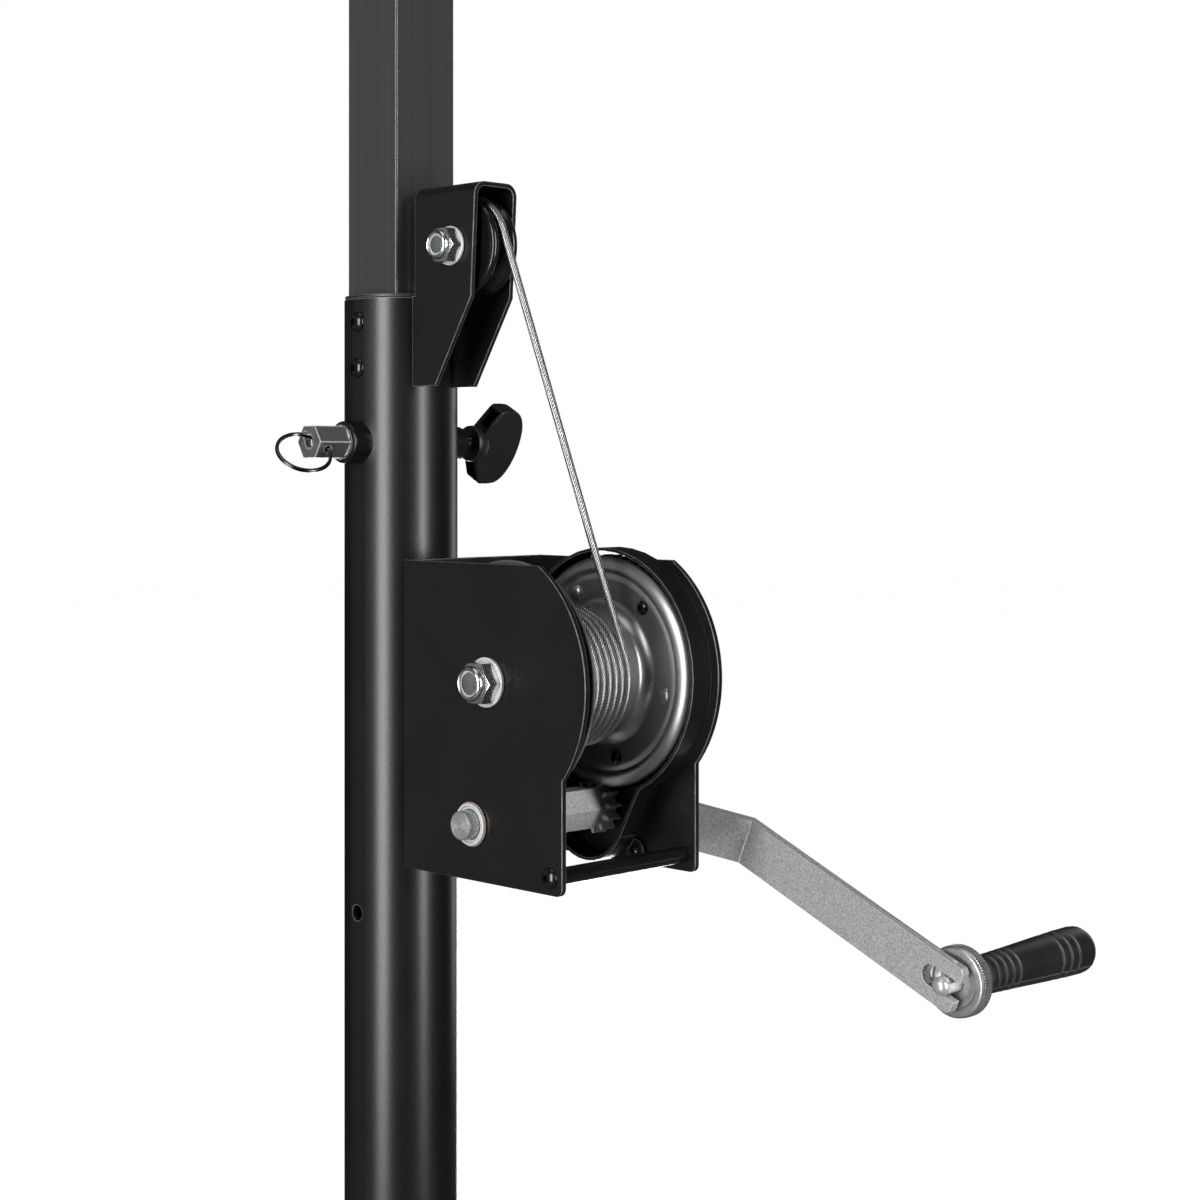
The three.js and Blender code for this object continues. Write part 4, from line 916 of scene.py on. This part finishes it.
def add_pull_ring():
    """A split ring: two turns of flat wire side by side."""
    centre = Vector((-0.068, -0.0048, LOCK_Z - 0.0054))
    normal = Vector((-0.214, -0.639, 0.739)).normalized()
    turn = Vector((0, 0, 1)).rotation_difference(normal).to_matrix().to_4x4()
    bm = bmesh.new()
    steps = 192
    rings = []
    for k in range(steps + 1):
        share = k / steps
        angle = 4 * math.pi * share
        ramp = min(1.0, max(0.0, (share - 0.44) / 0.12))
        lift = (ramp * ramp * (3 - 2 * ramp) - 0.5) * 1.06 * MM
        ring = []
        for corner in range(12):
            a = 2 * math.pi * corner / 12
            radius = 0.0138 + 0.9 * MM * math.cos(a)
            height = lift + 0.5 * MM * math.sin(a)
            ring.append(bm.verts.new((radius * math.cos(angle), radius * math.sin(angle), height)))
        rings.append(ring)
    for low, high in zip(rings, rings[1:]):
        for j in range(12):
            after = (j + 1) % 12
            bm.faces.new((low[j], low[after], high[after], high[j]))
    bm.faces.new(rings[0])
    bm.faces.new(rings[-1])
    bmesh.ops.recalc_face_normals(bm, faces=bm.faces)
    make_piece("split_ring", moved(bm, Matrix.Translation(centre) @ turn), "pull_ring", [DARK_CHROME],
               ["pull_ring"])


def rounded_square(half, corner):
    """The outline of a square round the origin, with round corners."""
    points = []
    for quarter in range(4):
        turn = math.pi / 2 * quarter
        middle = Matrix.Rotation(turn, 2) @ Vector((half - corner, half - corner))
        for k in range(5):
            angle = turn + math.pi / 2 * k / 4
            points.append((middle.x + corner * math.cos(angle), middle.y + corner * math.sin(angle)))
    return points


def add_mast():
    """The square tube, with its plunger hole on the left."""
    low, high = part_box("inner_mast")
    tube = plate(rounded_square(0.020, 1.3 * MM), [rounded_square(0.018, 0.8 * MM)], low.z, high.z, 0.2 * MM,
                 Matrix.Identity(4))
    hole = lathe([(0.0, -0.030), (0.005, -0.030), (0.005, -0.010), (0.0, -0.010)], 48)
    tube = carved(tube, moved(hole, about_x(0.0, LOCK_Z)))
    for face in tube.faces:
        squareness = max(abs(part) for part in face.normal)
        face.material_index = 0 if squareness > 0.98 else 1
    make_piece("mast_skin", tube, "mast", [MAST_GREY, MAST_EDGE], ["inner_mast"])


def add_pulley():
    """A moulded wheel with thick rounded rims and a groove for the rope."""
    half = [(5.4, 10.0), (8.6, 10.0), (9.0, 9.6), (9.0, 7.8), (18.6, 7.6), (19.6, 7.9), (20.6, 8.4),
            (23.6, 8.5), (24.6, 8.1), (25.2, 7.3), (25.4, 6.2), (25.2, 5.2), (24.7, 4.4), (23.9, 3.5),
            (22.9, 2.6), (22.2, 1.6), (21.9, 0.6)]
    profile = [(r, -x) for r, x in half] + half[::-1]
    bm = lathe(mm(profile), 96, closed=True)
    make_piece("pulley_wheel", moved(bm, about_x(PULLEY_FRONT, PULLEY_Z)), "pulley", [BLACK_GLOSS],
               ["pulley"])


def add_pinion():
    """Twelve narrow teeth with round tips."""
    teeth, pitch = 12, 0.012
    middle = math.atan2(SHAFT_Z - DRUM_Z, SHAFT_FRONT - DRUM_FRONT) + math.pi + math.pi / teeth
    tooth = [(-1.22, -0.30), (-1.1, -0.235), (-0.3, -0.185), (0.4, -0.12), (0.72, -0.07), (0.84, 0.0),
             (0.72, 0.07), (0.4, 0.12), (-0.3, 0.185), (-1.1, 0.235), (-1.22, 0.30)]
    outline = []
    for k in range(teeth):
        for height, share in tooth:
            radius = pitch + height * 2 * MM
            angle = middle + (k + share) * 2 * math.pi / teeth
            outline.append((SHAFT_FRONT + radius * math.cos(angle), SHAFT_Z + radius * math.sin(angle)))
    low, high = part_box("pinion")
    bore = arc(SHAFT_FRONT, SHAFT_Z, 0.0073, 0, 350, 35)
    bm = one_slot(plate(outline, [bore], low.x, high.x, 0.15 * MM, FRONT_VIEW))
    make_piece("pinion_skin", bm, "crank", [PINION_ZINC], ["pinion"])


def add_crank_arm():
    """The bent bar, with a painted highlight on the bevels where it is bent and at its ends."""
    bm = cad_shape("crank_arm")
    bevel_edges(bm, 0.5 * MM, 1, 20.0)
    across = Vector((0.0, -math.sin(ARM_LEAN), math.cos(ARM_LEAN)))
    # The bevels along the bar's long edges go back to the plain finish; the painted highlight stays at the
    # bends and the ends.
    for face in bm.faces:
        if abs(face.normal.dot(across)) > 0.3:
            face.material_index = 0
    make_piece("crank_arm_skin", bm, "crank", [DULL_ZINC, DULL_ZINC_HIGHLIGHT], ["crank_arm"])


# ---------------------------------------------------------------- the object

add_camera()
add_world()
add_floor()
add_light("left_box", (-2.45, -0.58, 1.5), (0.0, -0.1, 1.35), (0.9, 2.4), 85.0)
add_light("left_back", (-1.6, 1.6, 1.6), (0.0, -0.1, 1.35), (1.6, 3.0), 2.4)
add_light("front_box", (0.26, -2.5, 1.65), (0.0, -0.1, 1.4), (0.45, 2.1), 55.0)
add_light("top_box", (-0.4, -0.3, 3.4), (0.0, -0.1, 1.3), (1.2, 1.2), 6.0)
add_light("back_low", (1.9, 1.9, 0.5), (0.0, 0.0, 0.9), (1.2, 1.2), 40.0)
add_light("right_back", (2.4, 0.2, 1.6), (0.0, -0.1, 1.3), (0.8, 2.2), 8.0)

bpy.context.scene.view_settings.view_transform = "Standard"

add_rope()
add_drum()
add_nuts()
add_screws()
add_grip()
add_clamp_knob()
add_mast()
add_pulley()
add_pinion()
add_crank_arm()
add_turned()
add_shaft_end()
add_knurled_disc()
add_pull_ring()
add_side_plates()

# CAD nodes whose shape is right, with the width of their bevels in millimetres and their finish.
BEVELLED = [
    (["outer_tube"], 0.5, BLACK_COAT),
    (["pulley_bracket"], 0.45, BLACK_COAT),
    (["back_plate", "gear_guard", "winch_mount"], 0.4, BLACK_COAT),
    (["leg_hub", "brace_collar"], 0.8, BLACK_COAT),
    ([f"leg_{k}" for k in (1, 2, 3)] + [f"brace_{k}" for k in (1, 2, 3)], 0.6, BLACK_COAT),
    (["foot_1", "foot_2", "foot_3"], 1.0, BLACK_RUBBER),
    (["guide_bush", "base_plug", "mast_slider", "collar_knob"], 0.4, BLACK_PLASTIC),
    (["hex_sleeve"], 0.4, SATIN_ZINC),
    (["cable_anchor"], 0.4, ZINC),
    (["plunger_head"], 0.5, PLUNGER_ZINC),
    (["drum_gear"], 0.25, DARK_GEAR),
    (["friction_disc", "ratchet_wheel", "pawl"], 0.25, DULL_ZINC),
    (["mast_head"], 0.5, DULL_ZINC),
]
for nodes, width, material in BEVELLED:
    for node in nodes:
        refine(node, width * MM, material)
for node, material in (("plunger_pin", BRIGHT_STEEL), ("plunger_spring", BRIGHT_STEEL)):
    for slot in frame["nodes"][node].material_slots:
        slot.material = material

# The rope is drawn out of the tube as the mast rises, so the rope inside it gets shorter.
rope_inner = refine("cable_inner", 0.05 * MM, ROPE_STEEL, "rope_inner")
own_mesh(rope_inner)
